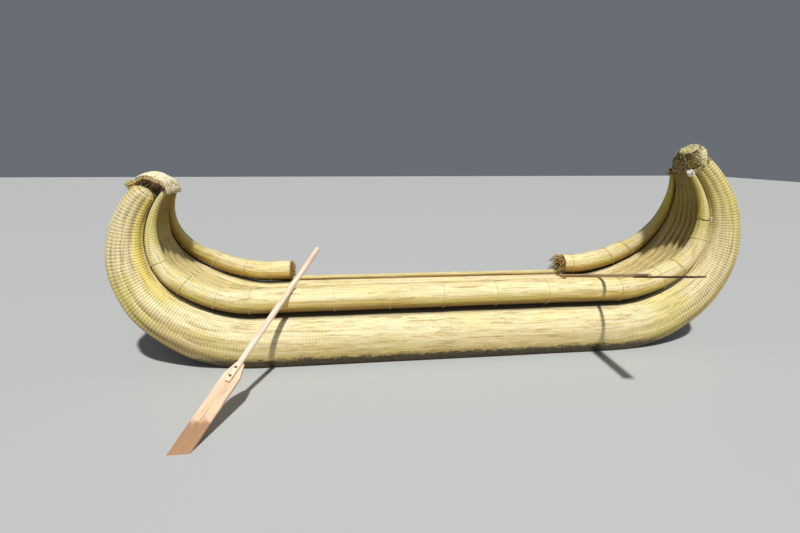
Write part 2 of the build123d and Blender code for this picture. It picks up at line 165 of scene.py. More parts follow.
def spine(place):
    """Point (x, z), slope and length along the spine at an array of places."""
    place = np.asarray(place, float)
    out = {key: np.zeros_like(place) for key in ("x", "z", "slope", "length")}
    flat = (place >= 0) & (place <= 1)
    out["x"][flat] = -STERN_STRAIGHT + place[flat] * STRAIGHT_RUN
    out["z"][flat] = KEEL_HEIGHT
    out["length"][flat] = place[flat] * STRAIGHT_RUN
    for side, start_x, rise, curl, offset in (
        (1, BOW_STRAIGHT, BOW_RISE, BOW_CURL, STRAIGHT_RUN),
        (-1, -STERN_STRAIGHT, STERN_RISE, STERN_CURL, 0.0),
    ):
        run = place - 1 if side > 0 else -place
        turn = math.radians(rise[1])
        rising = (run > 0) & (run <= 1)
        angle = run[rising] * turn
        out["x"][rising], out["z"][rising] = arc((start_x, KEEL_HEIGHT), rise[0], 0, angle, side)
        out["slope"][rising] = side * angle
        out["length"][rising] = offset + side * rise[0] * angle
        top = arc((start_x, KEEL_HEIGHT), rise[0], 0, turn, side)
        curling = run > 1
        angle = turn + (run[curling] - 1) * math.radians(curl[1])
        out["x"][curling], out["z"][curling] = arc(top, curl[0], turn, angle, side)
        out["slope"][curling] = side * angle
        out["length"][curling] = offset + side * (rise[0] * turn + curl[0] * (angle - turn))
    return out


def sizes_at(place):
    """Columns of ROWS at an array of places, with the corners between rows rounded a little."""
    place = np.asarray(place, float)
    columns = []
    for column in range(1, ROWS.shape[1]):
        shifted = []
        for shift in (-0.06, -0.03, 0.0, 0.03, 0.06):
            at = np.clip(place + shift * (np.abs(place - 0.5) < 2.3), ROWS[0, 0], ROWS[-1, 0])
            shifted.append(np.interp(at, ROWS[:, 0], ROWS[:, column]))
        columns.append(np.mean(shifted, axis=0))
    return columns


TABLE_PLACES = np.linspace(-2, 3, 4001)
TABLE_LENGTHS = spine(TABLE_PLACES)["length"]


def place_of(length):
    """Place at a length along the spine."""
    return np.interp(length, TABLE_LENGTHS, TABLE_PLACES)


def spine_frame(place):
    """Point of the spine at one place, its direction there, and the direction into its curl."""
    here = spine([place])
    slope = float(here["slope"][0])
    run = np.array([math.cos(slope), 0, math.sin(slope)])
    return np.array([here["x"][0], 0, here["z"][0]]), run, np.array([-run[2], 0, run[0]])


def on_section(place, across, up, side):
    """World points from section coordinates: across the boat and into its curl."""
    line = spine(place)
    x = line["x"] - np.sin(line["slope"]) * up
    z = line["z"] + np.cos(line["slope"]) * up
    return np.stack([x, side * across * np.ones_like(x), z], axis=-1)


print("spine runs", round(TABLE_LENGTHS[-1] - TABLE_LENGTHS[0], 2), "m from tip to tip")

# %% [markdown]
# ## Bound reed rolls
#
# A roll is hundreds of dry reeds laid lengthwise, pulled tight by a thin cord that is wound
# round and round it, about every three centimetres. Between two turns of cord the reeds bulge,
# so the roll is finely ringed, and stitches gather it into broad ribs near the tips. This could
# all be bump, but the rings show in the outline of the curved ends, so the rings and ribs are
# real mesh, with up to four rings of points to each turn of cord. Where a roll is straight no
# ring shows in its outline, so one ring a turn is enough there and keeps the mesh light. The
# single reeds are left to the material. Two UV maps tell the material where it is: "reeds" holds
# turns round the roll and metres along it, and "cords" holds ribs and turns of cord.

# %% Surface of a roll
CORD_PITCH = 0.030
# How far a surface wanders, and stays inside the frame's own.
UNEVEN = 0.0012
# Rings of points in one turn of cord, as (share of the turn, share of the cord's dent).
FINE_RINGS = ((0.0, 1.0), (0.16, 0.32), (0.5, 0.0), (0.84, 0.32))
PLAIN_RINGS = ((0.0, 1.0), (0.5, 0.0))
FEW_RINGS = ((0.0, 0.4),)


def rib_radius(turn, ribs, radius, groove):
    """Outline of bulging ribs: radius at an angle, in turns from the middle of one rib."""
    half = math.pi / ribs
    angle = ((turn * ribs + 0.5) % 1 - 0.5) * 2 * half
    valley = radius - groove
    rise = radius - valley * np.cos(half)
    bulge = (valley**2 * np.sin(half) ** 2 + rise**2) / (2 * rise)
    centre = radius - bulge
    return centre * np.cos(angle) + np.sqrt(bulge**2 - (centre * np.sin(angle)) ** 2)


def mesh_object(name, points, faces, materials):
    """An object of the boat from numpy points and faces, smooth, with its materials."""
    mesh = bpy.data.meshes.new(name)
    mesh.from_pydata(points.reshape(-1, 3).tolist(), [], faces)
    mesh.polygons.foreach_set("use_smooth", [True] * len(mesh.polygons))
    for material in materials:
        mesh.materials.append(material)
    mesh.update()
    piece = bpy.data.objects.new(name, mesh)
    bpy.context.scene.collection.objects.link(piece)
    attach(piece, "boat")
    return piece


def set_uv(mesh, name, values):
    """A UV map from an array of corner coordinates."""
    layer = mesh.uv_layers.new(name=name)
    layer.data.foreach_set("uv", np.asarray(values, np.float32).ravel())


def tube_grid(rings, around, flip):
    """Faces of a closed tube, and each corner's ring and step round it."""
    ring, step = np.meshgrid(np.arange(rings - 1), np.arange(around), indexing="ij")
    corners = [(ring, step), (ring, step + 1), (ring + 1, step + 1), (ring + 1, step)]
    if flip:
        corners = corners[::-1]
    index = np.stack([r * around + s % around for r, s in corners], axis=-1).reshape(-1, 4)
    place = np.stack([np.stack([r, s], axis=-1) for r, s in corners], axis=2).reshape(-1, 2)
    return index, place


def bound_roll(name, stretch, section, ribs, per_rib, rings, dent, side, crest, ends, materials):
    """A bound reed roll. section gives centre, radius and groove at an array of places.

    It has ribs of per_rib steps each, the first at crest degrees round it, and dents where the
    cord lies. ends is how far each end is rounded off.
    """
    start, end = [float(spine([p])["length"][0]) for p in stretch]
    count = int(round((end - start) / CORD_PITCH))
    pitch = (end - start) / count
    rows = []
    for turn in range(count):
        straight = 0 < start + turn * pitch and start + (turn + 1) * pitch < STRAIGHT_RUN
        rows += [(turn + step, depth) for step, depth in (FEW_RINGS if straight else rings)]
    phases, depths = np.array(rows + [(count, 1.0)]).T
    lengths = start + phases * pitch
    around = ribs * per_rib
    turns = np.arange(around) / around
    place = place_of(lengths)[:, None] * np.ones(around)
    across, up, radius, groove = [v[:, None] for v in section(place[:, 0])]
    outline = rib_radius(turns[None, :], ribs, radius, groove)
    bend = np.clip(np.abs(place - 0.5) - 0.5, 0, 1)
    outline = outline - depths[:, None] * (dent * (0.12 + 0.88 * bend))
    waves = np.sin(lengths[:, None] * 7.1 + turns * 12.5) + np.sin(lengths[:, None] * 3.3 - turns * 25)
    outline = outline - UNEVEN + UNEVEN * waves * 0.5
    for round_off, distance in zip(ends, (lengths - start, end - lengths)):
        if round_off:
            short = np.clip(1 - distance / round_off, 0, 1)
            outline = outline * np.maximum(np.sqrt(1 - short**2), 0.03)[:, None]
    angle = math.radians(crest) + turns[None, :] * 2 * math.pi
    points = on_section(place, across + outline * np.cos(angle), up + outline * np.sin(angle), side)
    index, corner = tube_grid(len(lengths), around, side < 0)
    faces = index.tolist()
    last = (len(lengths) - 1) * around
    caps = [list(range(around)), list(range(last + around - 1, last - 1, -1))]
    faces += [cap[::side] for cap in caps]
    piece = mesh_object(name, points, faces, materials)
    turn = np.concatenate([corner[:, 1] / around, np.tile(turns, 2)])
    length = np.concatenate([lengths[corner[:, 0]], np.full(around, start), np.full(around, end)])
    phase = np.concatenate([phases[corner[:, 0]], np.zeros(2 * around)])
    set_uv(piece.data, "reeds", np.stack([turn, length], axis=-1))
    set_uv(piece.data, "cords", np.stack([turn * ribs, phase], axis=-1))
    return piece


print("a turn of cord every", CORD_PITCH, "m, with up to", len(FINE_RINGS), "rings of points each")

# %% [markdown]
# ## Shader groups for reed
#
# Four effects come back in the reed finishes, so each is a group of its own. The first draws
# single reeds side by side: each has its own tone, fades along its length, and leaves a thin
# dark gap here and there, with dark streaks and pale patches over several reeds. The second
# draws the turns of cord with painted shade on the reed beside them, the grooves between ribs,
# and the seam where a roll rests on another, which gets painted shade. The third tells how much
# a place faces the sky, where reeds bleach to cream, and how much it faces down, where it gets
# painted shade. The fourth finds the wet foot at the waterline, which only the hull has.

# %% Node helpers
def add(tree, kind, links=None, **settings):
    """One shader node, its settings, and what goes into its sockets."""
    made = tree.nodes.new(kind)
    for key, value in settings.items():
        setattr(made, key, value)
    for key, value in (links or {}).items():
        if isinstance(value, bpy.types.NodeSocket):
            tree.links.new(value, made.inputs[key])
        else:
            made.inputs[key].default_value = value
    return made


def maths(tree, operation, a, b=0.0, c=0.0):
    """The result of a Math node."""
    return add(tree, "ShaderNodeMath", {0: a, 1: b, 2: c}, operation=operation).outputs[0]


def times(tree, a, b):
    """The product of two values."""
    return maths(tree, "MULTIPLY", a, b)


def scaled(tree, value, by, plus):
    """The value times one number, plus another."""
    return maths(tree, "MULTIPLY_ADD", value, by, plus)


def apart(tree, a, b):
    """How far apart two values are."""
    return maths(tree, "ABSOLUTE", maths(tree, "SUBTRACT", a, b))


def from_whole(tree, value):
    """How far a value is from the nearest whole number."""
    return apart(tree, maths(tree, "FRACT", maths(tree, "ADD", value, 0.5)), 0.5)


def ramp(tree, value, low, high, to_low=0.0, to_high=1.0):
    """A value mapped smoothly from one range to another."""
    links = {"Value": value, "From Min": low, "From Max": high, "To Min": to_low, "To Max": to_high}
    made = add(tree, "ShaderNodeMapRange", links, interpolation_type="SMOOTHSTEP")
    return made.outputs["Result"]


def mixed(tree, share, first, second):
    """Two colours mixed by a share. A colour is three numbers or a socket."""
    first, second = [(*c, 1) if isinstance(c, tuple) else c for c in (first, second)]
    return add(tree, "ShaderNodeMix", {"Factor": share, 6: first, 7: second}, data_type="RGBA").outputs[2]


def tinted(tree, colour, tone, mask, strength):
    """A colour with a tone over it where a mask is, as much as the strength says."""
    return mixed(tree, times(tree, mask, strength), colour, tone)


def noise_at(tree, point, scale, detail=2.0, roughness=0.5):
    """Noise at a point."""
    links = {"Vector": point, "Scale": scale, "Detail": detail, "Roughness": roughness}
    return add(tree, "ShaderNodeTexNoise", links).outputs["Fac"]


def noise(tree, x, y, z=0.0, scale=1.0, detail=2.0, roughness=0.5):
    """Noise at a point given by three values."""
    point = add(tree, "ShaderNodeCombineXYZ", {0: x, 1: y, 2: z}).outputs[0]
    return noise_at(tree, point, scale, detail, roughness)


def split(tree, vector):
    """The X, Y and Z of a vector."""
    return add(tree, "ShaderNodeSeparateXYZ", {0: vector}).outputs


def surface(tree, what):
    """The X, Y and Z of the surface's Normal or Position."""
    return split(tree, add(tree, "ShaderNodeNewGeometry").outputs[what])


def shader_group(name, inputs, outputs):
    """An empty group with float inputs, and its input and output nodes."""
    tree = bpy.data.node_groups.new(name, "ShaderNodeTree")
    for label, default in inputs:
        socket = tree.interface.new_socket(label, in_out="INPUT", socket_type="NodeSocketFloat")
        socket.default_value = default
    for label in outputs:
        tree.interface.new_socket(label, in_out="OUTPUT", socket_type="NodeSocketFloat")
    return tree, tree.nodes.new("NodeGroupInput").outputs, tree.nodes.new("NodeGroupOutput").inputs


def give(tree, result, **values):
    """Links values to the outputs of a group."""
    for label, value in values.items():
        tree.links.new(value, result[label])


def use(tree, group, **values):
    """A group placed in a material, with its inputs set."""
    named = {label.replace("_", " "): value for label, value in values.items()}
    return add(tree, "ShaderNodeGroup", named, node_tree=group).outputs


# %% Group: strands of reed
strands, given, result = shader_group(
    "reed_strands",
    [("Around", 0), ("Along", 0), ("Strands", 120)],
    ["Tone", "Height", "Gap", "Streak", "Pale"],
)
t = strands
around, along = given["Around"], given["Along"]
wander = maths(t, "SUBTRACT", noise(t, times(t, around, 9), along, scale=0.9), 0.5)
row = scaled(t, around, given["Strands"], times(t, wander, 5.0))
number = maths(t, "FLOOR", row)
own = add(t, "ShaderNodeTexWhiteNoise", {"W": number}, noise_dimensions="1D").outputs["Value"]
piece_of = maths(t, "FLOOR", scaled(t, along, 0.8, times(t, own, 9)))
pair = add(t, "ShaderNodeCombineXYZ", {0: number, 1: piece_of}).outputs[0]
laid = add(t, "ShaderNodeTexWhiteNoise", {"Vector": pair}, noise_dimensions="2D").outputs["Value"]
fade = noise(t, times(t, number, 3.17), along, scale=2.2, detail=3)
tone = scaled(t, laid, 0.5, times(t, fade, 0.5))
edge = maths(t, "ABSOLUTE", scaled(t, maths(t, "FRACT", row), 2, -1))
height = maths(t, "SUBTRACT", 1, maths(t, "POWER", edge, 2.4))
open_here = ramp(t, noise(t, times(t, number, 5.3), along, scale=3.1, detail=4), 0.48, 0.60)
gap = times(t, ramp(t, edge, 0.62, 0.96), open_here)
spread = times(t, times(t, around, given["Strands"]), 0.42)
broken = noise(t, spread, times(t, along, 2.6), 7.3, detail=4, roughness=0.66)
fine = noise(t, times(t, spread, 2.4), times(t, along, 5.5), 3.1, detail=3, roughness=0.7)
dark = maths(t, "MAXIMUM", ramp(t, broken, 0.56, 0.66), times(t, ramp(t, fine, 0.60, 0.68), 0.9))
give(t, result, Tone=tone, Height=height, Gap=gap, Streak=dark, Pale=ramp(t, broken, 0.46, 0.34))
print(strands.name, "has", len(t.nodes), "nodes")

# %% Group: turns of cord, grooves and seams
cords, given, result = shader_group(
    "cord_turns",
    [("Rib", 0), ("Turn", 0), ("Around", 0), ("Width", 0.09), ("Seam reach", 0.1)],
    ["Cord", "Height", "Shade", "Groove", "Seam"],
)
t = cords
off = from_whole(t, given["Turn"])
shaky = noise(t, times(t, given["Around"], 40), times(t, given["Turn"], 0.7))
off = maths(t, "ABSOLUTE", scaled(t, maths(t, "SUBTRACT", shaky, 0.5), 0.10, off))
cord = ramp(t, off, given["Width"], 0.02)
# Shade marks the reed beside each turn of cord, which gets painted shade.
give(t, result, Cord=cord, Height=maths(t, "SQRT", cord), Shade=ramp(t, off, 0.26, 0.06))
valley = apart(t, maths(t, "FRACT", given["Rib"]), 0.5)
# Seam marks where a roll rests on another, for the painted shade along that seam.
reach = given["Seam reach"]
seam = ramp(t, from_whole(t, given["Around"]), reach, times(t, reach, 0.45))
give(t, result, Groove=ramp(t, valley, 0.13, 0.0), Seam=seam)
print(cords.name, "has", len(t.nodes), "nodes")

# %% Groups: bleaching and wet foot
bleach, given, result = shader_group("sky_bleach_and_under_shade", [("Low", -0.2), ("High", 0.75)], ["Share", "Under"])
t = bleach
facing = surface(t, "Normal")["Z"]
lit = add(t, "ShaderNodeMapRange", {"Value": facing, "From Min": given["Low"], "From Max": given["High"]})
# The second output marks the sides that face down, which get painted shade.
give(t, result, Share=lit.outputs["Result"], Under=ramp(t, facing, -0.15, -0.75))

foot, given, result = shader_group("wet_foot", [("Level", WATERLINE), ("Reach", 0.10)], ["Wet", "Algae"])
t = foot
here = surface(t, "Position")
lap = noise(t, times(t, here["X"], 0.4), here["Y"], here["Z"], scale=34, detail=6, roughness=0.75)
climb = times(t, given["Reach"], scaled(t, lap, 2.2, -0.1))
above = maths(t, "SUBTRACT", maths(t, "SUBTRACT", here["Z"], given["Level"]), climb)
fleck = noise(t, here["X"], here["Y"], here["Z"], scale=60, detail=4, roughness=0.7)
give(t, result, Wet=ramp(t, above, 0.032, -0.022), Algae=ramp(t, fleck, 0.48, 0.6))
print("groups:", [g.name for g in bpy.data.node_groups])

# %% [markdown]
# ## Reed finishes
#
# Sun turns dry reed from green through gold to a pale cream, and it only reaches the upper
# sides. So the finish mixes three tones by how much a place faces the sky, lets every reed
# vary, and darkens the gaps, the line of the cord and the stitch holes in the grooves between
# ribs. It also paints shade on the sides that face down, on the reed beside each turn of cord
# and along the seam where a roll rests on the next. Fresher green reed shows in patches, most of
# it at the bow. The hull, the gunwales and the floor differ in these colours and counts, so one
# function makes all; the floor's darker tones are painted shade. The hull alone gets a yellow
# rib at the stern and a wet, dark foot.

# %% Helpers for materials
def new_material(name, roughness, specular=0.3):
    """A material with its node tree and shader."""
    material = bpy.data.materials.new(name)
    material.use_nodes = True
    shader = material.node_tree.nodes["Principled BSDF"]
    shader.inputs["Roughness"].default_value = roughness
    shader.inputs["Specular IOR Level"].default_value = specular
    return material, material.node_tree, shader


def coat(tree, shader, colour, rough, height, strength, distance):
    """Links colour, roughness if it varies, and a bump to the shader."""
    tree.links.new(colour, shader.inputs["Base Color"])
    if rough is not None:
        tree.links.new(rough, shader.inputs["Roughness"])
    bump = add(tree, "ShaderNodeBump", {"Height": height, "Strength": strength, "Distance": distance})
    tree.links.new(bump.outputs[0], shader.inputs["Normal"])


print("material helpers ready")

# %% Reed materials
# Lengths along the reeds, in metres: the middle of the boat and of the boarding gap.
BOAT_MIDDLE, GAP_MIDDLE = 1.8, 1.875
# The stern's yellow rib, in turns round the hull roll.
YELLOW_RIB_TURN = 0.925
# The last of these colours is painted shade for the seam where one roll rests on another.
CORD_LINE, STITCH_HOLE, SEAM_SHADE = (0.24, 0.15, 0.045), (0.05, 0.03, 0.012), (0.035, 0.02, 0.008)
YELLOW_RIB, SOAKED, ALGAE = (0.90, 0.74, 0.16), (0.022, 0.018, 0.007), (0.16, 0.11, 0.03)


def reed_material(name, tones, strand_count, stitch, cord_width, seam, wet=False):
    """Bound reed: bleached, gold and shaded tones, single reeds, cord turns and grooves."""
    cream, gold, brown, green = tones
    material, t, shader = new_material(name, 0.5, 0.35)
    reeds, turns = [
        split(t, add(t, "ShaderNodeUVMap", uv_map=layer).outputs[0]) for layer in ("reeds", "cords")]
    around, along = reeds["X"], reeds["Y"]
    reed = use(t, strands, Around=around, Along=along, Strands=strand_count)
    bent = ramp(t, apart(t, along, BOAT_MIDDLE), 1.7, 3.1)
    reach = scaled(t, bent, -0.55 * seam, seam)
    cord = use(
        t, cords, Rib=turns["X"], Turn=turns["Y"], Around=around, Width=cord_width, Seam_reach=reach)
    sun = use(t, bleach)
    bleached = scaled(t, reed["Tone"], 0.5, scaled(t, sun["Share"], 0.9, -0.06))
    colour = mixed(t, ramp(t, bleached, 0.1, 0.85), gold, cream)
    patch = noise(t, times(t, around, 4), along, scale=1.3, detail=3)
    greener = times(t, ramp(t, patch, 0.46, 0.62), scaled(t, bent, 0.40, 0.25))
    at_bow = ramp(t, along, 5.1, 5.75, 0.0, 0.42 if wet else 0.9)
    fresh = times(t, ramp(t, patch, 0.30, 0.50), at_bow)
    colour = mixed(t, maths(t, "MAXIMUM", greener, fresh), colour, green)
    if wet:
        beside = ramp(t, apart(t, around, YELLOW_RIB_TURN), 0.055, 0.03)
        astern = times(t, bent, ramp(t, along, -0.75, -1.35, 0.0, 0.8))
        colour = tinted(t, colour, YELLOW_RIB, beside, astern)
    colour = tinted(t, colour, gold, ramp(t, reed["Tone"], 0.40, 0.22), 0.55)
    colour = tinted(t, colour, cream, reed["Pale"], 0.45)
    colour = tinted(t, colour, mixed(t, 0.6, gold, brown), reed["Streak"], 0.66)
    # Sides that face down get painted shade.
    colour = tinted(t, colour, brown, sun["Under"], 0.75)
    colour = tinted(t, colour, brown, reed["Gap"], scaled(t, bent, -0.35, 0.9))
    colour = tinted(t, colour, brown, cord["Shade"], scaled(t, bent, 0.09, 0.02))
    colour = tinted(t, colour, CORD_LINE, cord["Cord"], scaled(t, bent, 0.56, 0.16))
    worn = ramp(t, noise(t, times(t, turns["X"], 1.7), times(t, along, 5)), 0.34, 0.56)
    holes = times(t, times(t, cord["Groove"], scaled(t, cord["Shade"], 0.8, 0.12)), worn)
    colour = tinted(t, colour, STITCH_HOLE, holes, scaled(t, bent, stitch, 0.04))
    # No gunwale rests on the hull along the boarding gap, so the seam gets no painted shade there.
    amidships = ramp(t, apart(t, along, GAP_MIDDLE), 1.735, 1.715)
    bare = times(t, amidships, ramp(t, surface(t, "Position")["Y"], 0.0, 0.01))
    colour = tinted(t, colour, SEAM_SHADE, cord["Seam"], scaled(t, bare, -0.9, 0.9))
    rough = scaled(t, reed["Tone"], 0.2, 0.5)
    if wet:
        damp = use(t, foot)
        colour = tinted(t, colour, mixed(t, damp["Algae"], SOAKED, ALGAE), damp["Wet"], 0.95)
        rough = scaled(t, damp["Wet"], -0.25, rough)
    height = scaled(t, reed["Height"], 0.75, times(t, cord["Height"], scaled(t, bent, 0.45, 0.08)))
    coat(t, shader, colour, rough, scaled(t, reed["Gap"], -0.7, height), 0.7, 0.0035)
    return material


# Cream, gold, brown and green of each kind of roll.
HULL_TONES = ((0.90, 0.80, 0.50), (0.68, 0.50, 0.17), (0.17, 0.09, 0.025), (0.76, 0.68, 0.15))
GUNWALE_TONES = ((0.92, 0.82, 0.50), (0.70, 0.48, 0.10), (0.20, 0.09, 0.015), (0.74, 0.67, 0.13))
# The floor rolls' tones are darker than the others: painted shade, as they lie inside the boat.
FLOOR_TONES = ((0.76, 0.63, 0.31), (0.40, 0.28, 0.08), (0.09, 0.05, 0.017), (0.38, 0.31, 0.08))
hull_reed = reed_material(
    "hull_reed", HULL_TONES, strand_count=172, stitch=0.85, cord_width=0.115, seam=0.075, wet=True)
gunwale_reed = reed_material(
    "gunwale_reed", GUNWALE_TONES, strand_count=72, stitch=0.6, cord_width=0.115, seam=0.18)
floor_reed = reed_material(
    "floor_reed", FLOOR_TONES, strand_count=18, stitch=0.6, cord_width=0.12, seam=0.0)
print("reed finishes:", hull_reed.name, gunwale_reed.name, floor_reed.name)

# %% [markdown]
# ## The rolls
#
# The hull rolls lie side by side, the gunwale rolls on top of them a little outboard, and the
# floor rolls between. Each surface follows the frame's section at its place, so it can stand in
# for the frame's plain roll. The port gunwale is in two pieces with a gap to step aboard, and a
# thin sill roll lies in that gap.

# %% Hull rolls
def hull_section(place):
    """Section of a hull roll: place across and up, radius, groove. The bow's ribs are shallow."""
    half, radius, groove, _, _ = sizes_at(place)
    return half, half * 0, radius, groove * np.interp(place, (1.0, 2.0), (1.0, 0.6))


def on_hull_section(thin, groove):
    """Section function of a roll that lies on the hull roll, a little outboard of its top.

    Its radius is thin, or the gunwale's where that is None.
    """
    def section(place):
        half, radius, _, gunwale, _ = sizes_at(place)
        size = gunwale if thin is None else gunwale * 0 + thin
        reach = radius + size + SEAT
        return half + reach * math.sin(LEAN), reach * math.cos(LEAN), size, size * 0 + groove

    return section


gunwale_section = on_hull_section(None, 0.0022)
LEAN_TURN = math.degrees(LEAN)
HULL_DENT, THIN_DENT = 0.0017, 0.0012
for side, label in ((-1, "starboard"), (1, "port")):
    roll = bound_roll(
        f"reeds_hull_{label}", (HULL_STERN_END, BOW_TIP), hull_section, ribs=12, per_rib=7,
        rings=FINE_RINGS, dent=HULL_DENT, side=side, crest=90 - LEAN_TURN, ends=(0.07, 0.0),
        materials=[hull_reed])
    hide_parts(f"hull_roll_{label}")
    print(roll.name, len(roll.data.polygons), "faces")

# %% Gunwale rolls and the sill between their cut ends
# Places of the gap's two ends, from how far along the boat they are.
GAP_STERN, GAP_BOW = [(x + STERN_STRAIGHT) / STRAIGHT_RUN for x in (-1.700, 1.750)]
for node, stretch, side, rounding, section, ribs in (
    ("gunwale_roll_starboard", (STERN_TIP, GUNWALE_BOW_END), -1, (0.03, 0.02), gunwale_section, 9),
    ("gunwale_roll_port_stern", (STERN_TIP, GAP_STERN), 1, (0.03, 0.0), gunwale_section, 9),
    ("gunwale_roll_port_bow", (GAP_BOW, GUNWALE_BOW_END), 1, (0.0, 0.02), gunwale_section, 9),
    ("boarding_sill", (GAP_STERN, GAP_BOW), 1, (0.0, 0.0), on_hull_section(0.030, 0.001), 5),
):
    name = "reeds_sill" if node == "boarding_sill" else node.replace("gunwale_roll", "reeds_gunwale")
    roll = bound_roll(
        name, stretch, section, ribs=ribs, per_rib=6, rings=FINE_RINGS, dent=THIN_DENT, side=side,
        crest=-90 - LEAN_TURN, ends=rounding, materials=[gunwale_reed])
    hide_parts(node)
    print(roll.name, len(roll.data.polygons), "faces")

# %% Floor rolls and the heart roll under them
FLOOR_ROLLS = 5
MIDDLE_ROLL = FLOOR_ROLLS // 2


def floor_height(half, radius, thin):
    """Height of the floor rolls' middles: the outer two lie on the hull rolls."""
    outer = (FLOOR_ROLLS - 1) * (thin + SEAT / 2)
    return np.sqrt((radius + thin + SEAT) ** 2 - (half - outer) ** 2)


def floor_section(number):
    """Section function of one floor roll, counted from starboard."""
    def section(place):
        half, radius, _, _, thin = sizes_at(place)
        height = floor_height(half, radius, thin)
        return (number - MIDDLE_ROLL) * (2 * thin + SEAT), height, thin * 1.03, thin * 0 + 0.004

    return section


def heart_section(place):
    """Section of the heart roll, which touches both hull rolls and the floor."""
    half, radius, _, _, thin = sizes_at(place)
    top = floor_height(half, radius, thin) - thin - SEAT
    size = (top**2 + half**2 - (radius + SEAT) ** 2) / (2 * (top + radius + SEAT))
    return half * 0, top - size, size, size * 0 + 0.003


inner_rolls = [
    (f"floor_roll_{number + 1}", floor_section(number), 5, PLAIN_RINGS) for number in range(FLOOR_ROLLS)]
inner_rolls.append(("heart_roll", heart_section, 8, FEW_RINGS))
for node, section, ribs, rings in inner_rolls:
    roll = bound_roll(
        f"reeds_{node.replace('_roll', '')}", (STERN_TIP, BOW_TIP), section, ribs=ribs, per_rib=4,
        rings=rings, dent=THIN_DENT, side=1, crest=90, ends=(0.0, 0.0), materials=[floor_reed])
    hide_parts(node)
    print(roll.name, len(roll.data.polygons), "faces")

# %% [markdown]
# ## Many thin things in one mesh
#
# The brush on the bow, the straw of the mat and the cut ends of the gunwale are hundreds of
# thin straws. A hair system or an instance for each would be hard to export, so they are joined
# meshes made straight from arrays: one helper makes thin tubes along paths, the other makes cut
# reeds with a hollow in the end. Each straw carries its own tone, which the finish reads.

# %% Helpers for straws
chance = np.random.default_rng(11)
CUT_SIDES = 6
# Rings at a reed's cut end: how far in front of it, and share of the radius. They are the rim,
# the edge of the hollow and its bottom. The ring at the reed's other end comes before them.
CUT_RINGS = ((0.0, 1.0), (0.0, 0.42), (-0.006, 0.3))


def unit(vectors):
    """Vectors made one long."""
    return vectors / np.linalg.norm(vectors, axis=-1, keepdims=True)


def straw_object(name, points, tones, materials, cut=False):
    """One mesh from points (straws, rings, sides, 3). Cut reeds have edges and a hollow end."""
    count, rings, sides = points.shape[:3]
    index = np.arange(count * rings * sides).reshape(count, rings, sides)
    lower, upper = index[:, :-1], index[:, 1:]
    walls = np.stack([lower, np.roll(lower, -1, axis=2), np.roll(upper, -1, axis=2), upper], axis=-1)
    faces = walls.reshape(-1, 4).tolist() + index[:, -1].tolist()
    if not cut:
        faces += index[:, 0, ::-1].tolist()
    piece = mesh_object(name, points, faces, materials)
    if cut:
        hollow = np.zeros((count, rings - 1, sides), int)
        hollow[:, -1] = 1
        piece.data.polygons.foreach_set("material_index", hollow.ravel().tolist() + [1] * count)
        piece.data.polygons.foreach_set("use_smooth", [False] * len(faces))
    tone = piece.data.attributes.new("tone", "FLOAT", "POINT")
    tone.data.foreach_set("value", np.repeat(tones, rings * sides).astype(np.float32))
    piece.data.update()
    return piece


def straws(name, paths, radii, sides, material):
    """Thin tubes along paths of shape (straws, points, 3), with one radius or one a point."""
    radii = np.broadcast_to(radii, paths.shape[:2])
    run = unit(np.gradient(paths, axis=1))
    aside = np.eye(3)[np.abs(run).max(axis=1).argmin(axis=1)][:, None, :]
    across = unit(np.cross(run, aside))
    over = np.cross(run, across)
    turn = 2 * math.pi * np.arange(sides)[:, None] / sides
    ring = across[:, :, None] * np.cos(turn) + over[:, :, None] * np.sin(turn)
    points = paths[:, :, None] + ring * radii[:, :, None, None]
    return straw_object(name, points, chance.random(len(paths)), [material])


def cut_reeds(name, ends, axes, radii, length, materials, tones=None):
    """Cut reed ends: short tubes with a hollow in the end, painted nearly black as shade."""
    tones = chance.random(len(ends)) if tones is None else tones
    axes = unit(axes)
    across = unit(np.cross(axes, np.eye(3)[np.abs(axes).argmin(axis=1)]))
    over = np.cross(axes, across)
    turn = 2 * math.pi * np.arange(CUT_SIDES)[:, None] / CUT_SIDES + chance.random((len(ends), 1, 1)) * 3
    ring = across[:, None] * np.cos(turn) + over[:, None] * np.sin(turn)
    points = []
    for ahead, share in ((-length, 0.9), *CUT_RINGS):
        points.append(ends[:, None] + axes[:, None] * ahead + ring * (radii[:, None, None] * share))
    return straw_object(name, np.stack(points, axis=1), tones, materials, cut=True)


def reed_radii(count, least, extra):
    """Radii of reeds, each its own between two sizes."""
    return least + extra * chance.random(count)


def both_ways(count):
    """-1 and 1 in turn, to starboard and to port."""
    return np.where(np.arange(count) % 2 == 0, -1.0, 1.0)


print("straw helpers ready")

# %% [markdown]
# ## Straw finishes
#
# Straw has no UV map here: its tone comes from the value that every straw carries, and the rest
# from noise in the object's own space, so it doesn't slide when a piece moves. The hollows of
# cut reeds are painted nearly black, as the shade inside them, and a nearly black straw stands
# for shade in the fold of the mat and under the brush. Cloth, cord and steel are made in the
# same way, each with its own bump.

# %% Straw materials
def own_space(tree):
    """Coordinates in the object's own space."""
    return add(tree, "ShaderNodeTexCoord").outputs["Object"]


def own_noise(tree, scale):
    """Noise in the object's own space."""
    return noise_at(tree, own_space(tree), scale, 3.0, 0.6)


def straw_material(name, pale, gold, dark, spots=40):
    """Dry straw: pale and gold straws side by side, darker in spots, with painted shade underneath."""
    material, t, shader = new_material(name, 0.6)
    tone = add(t, "ShaderNodeAttribute", attribute_name="tone").outputs["Fac"]
    colour = mixed(t, tone, gold, pale)
    colour = tinted(t, colour, dark, ramp(t, own_noise(t, spots), 0.53, 0.68), 0.65)
    # Sides that face down get painted shade.
    colour = tinted(t, colour, dark, use(t, bleach)["Under"], 0.5)
    coat(t, shader, colour, None, own_noise(t, 260), 0.4, 0.002)
    return material
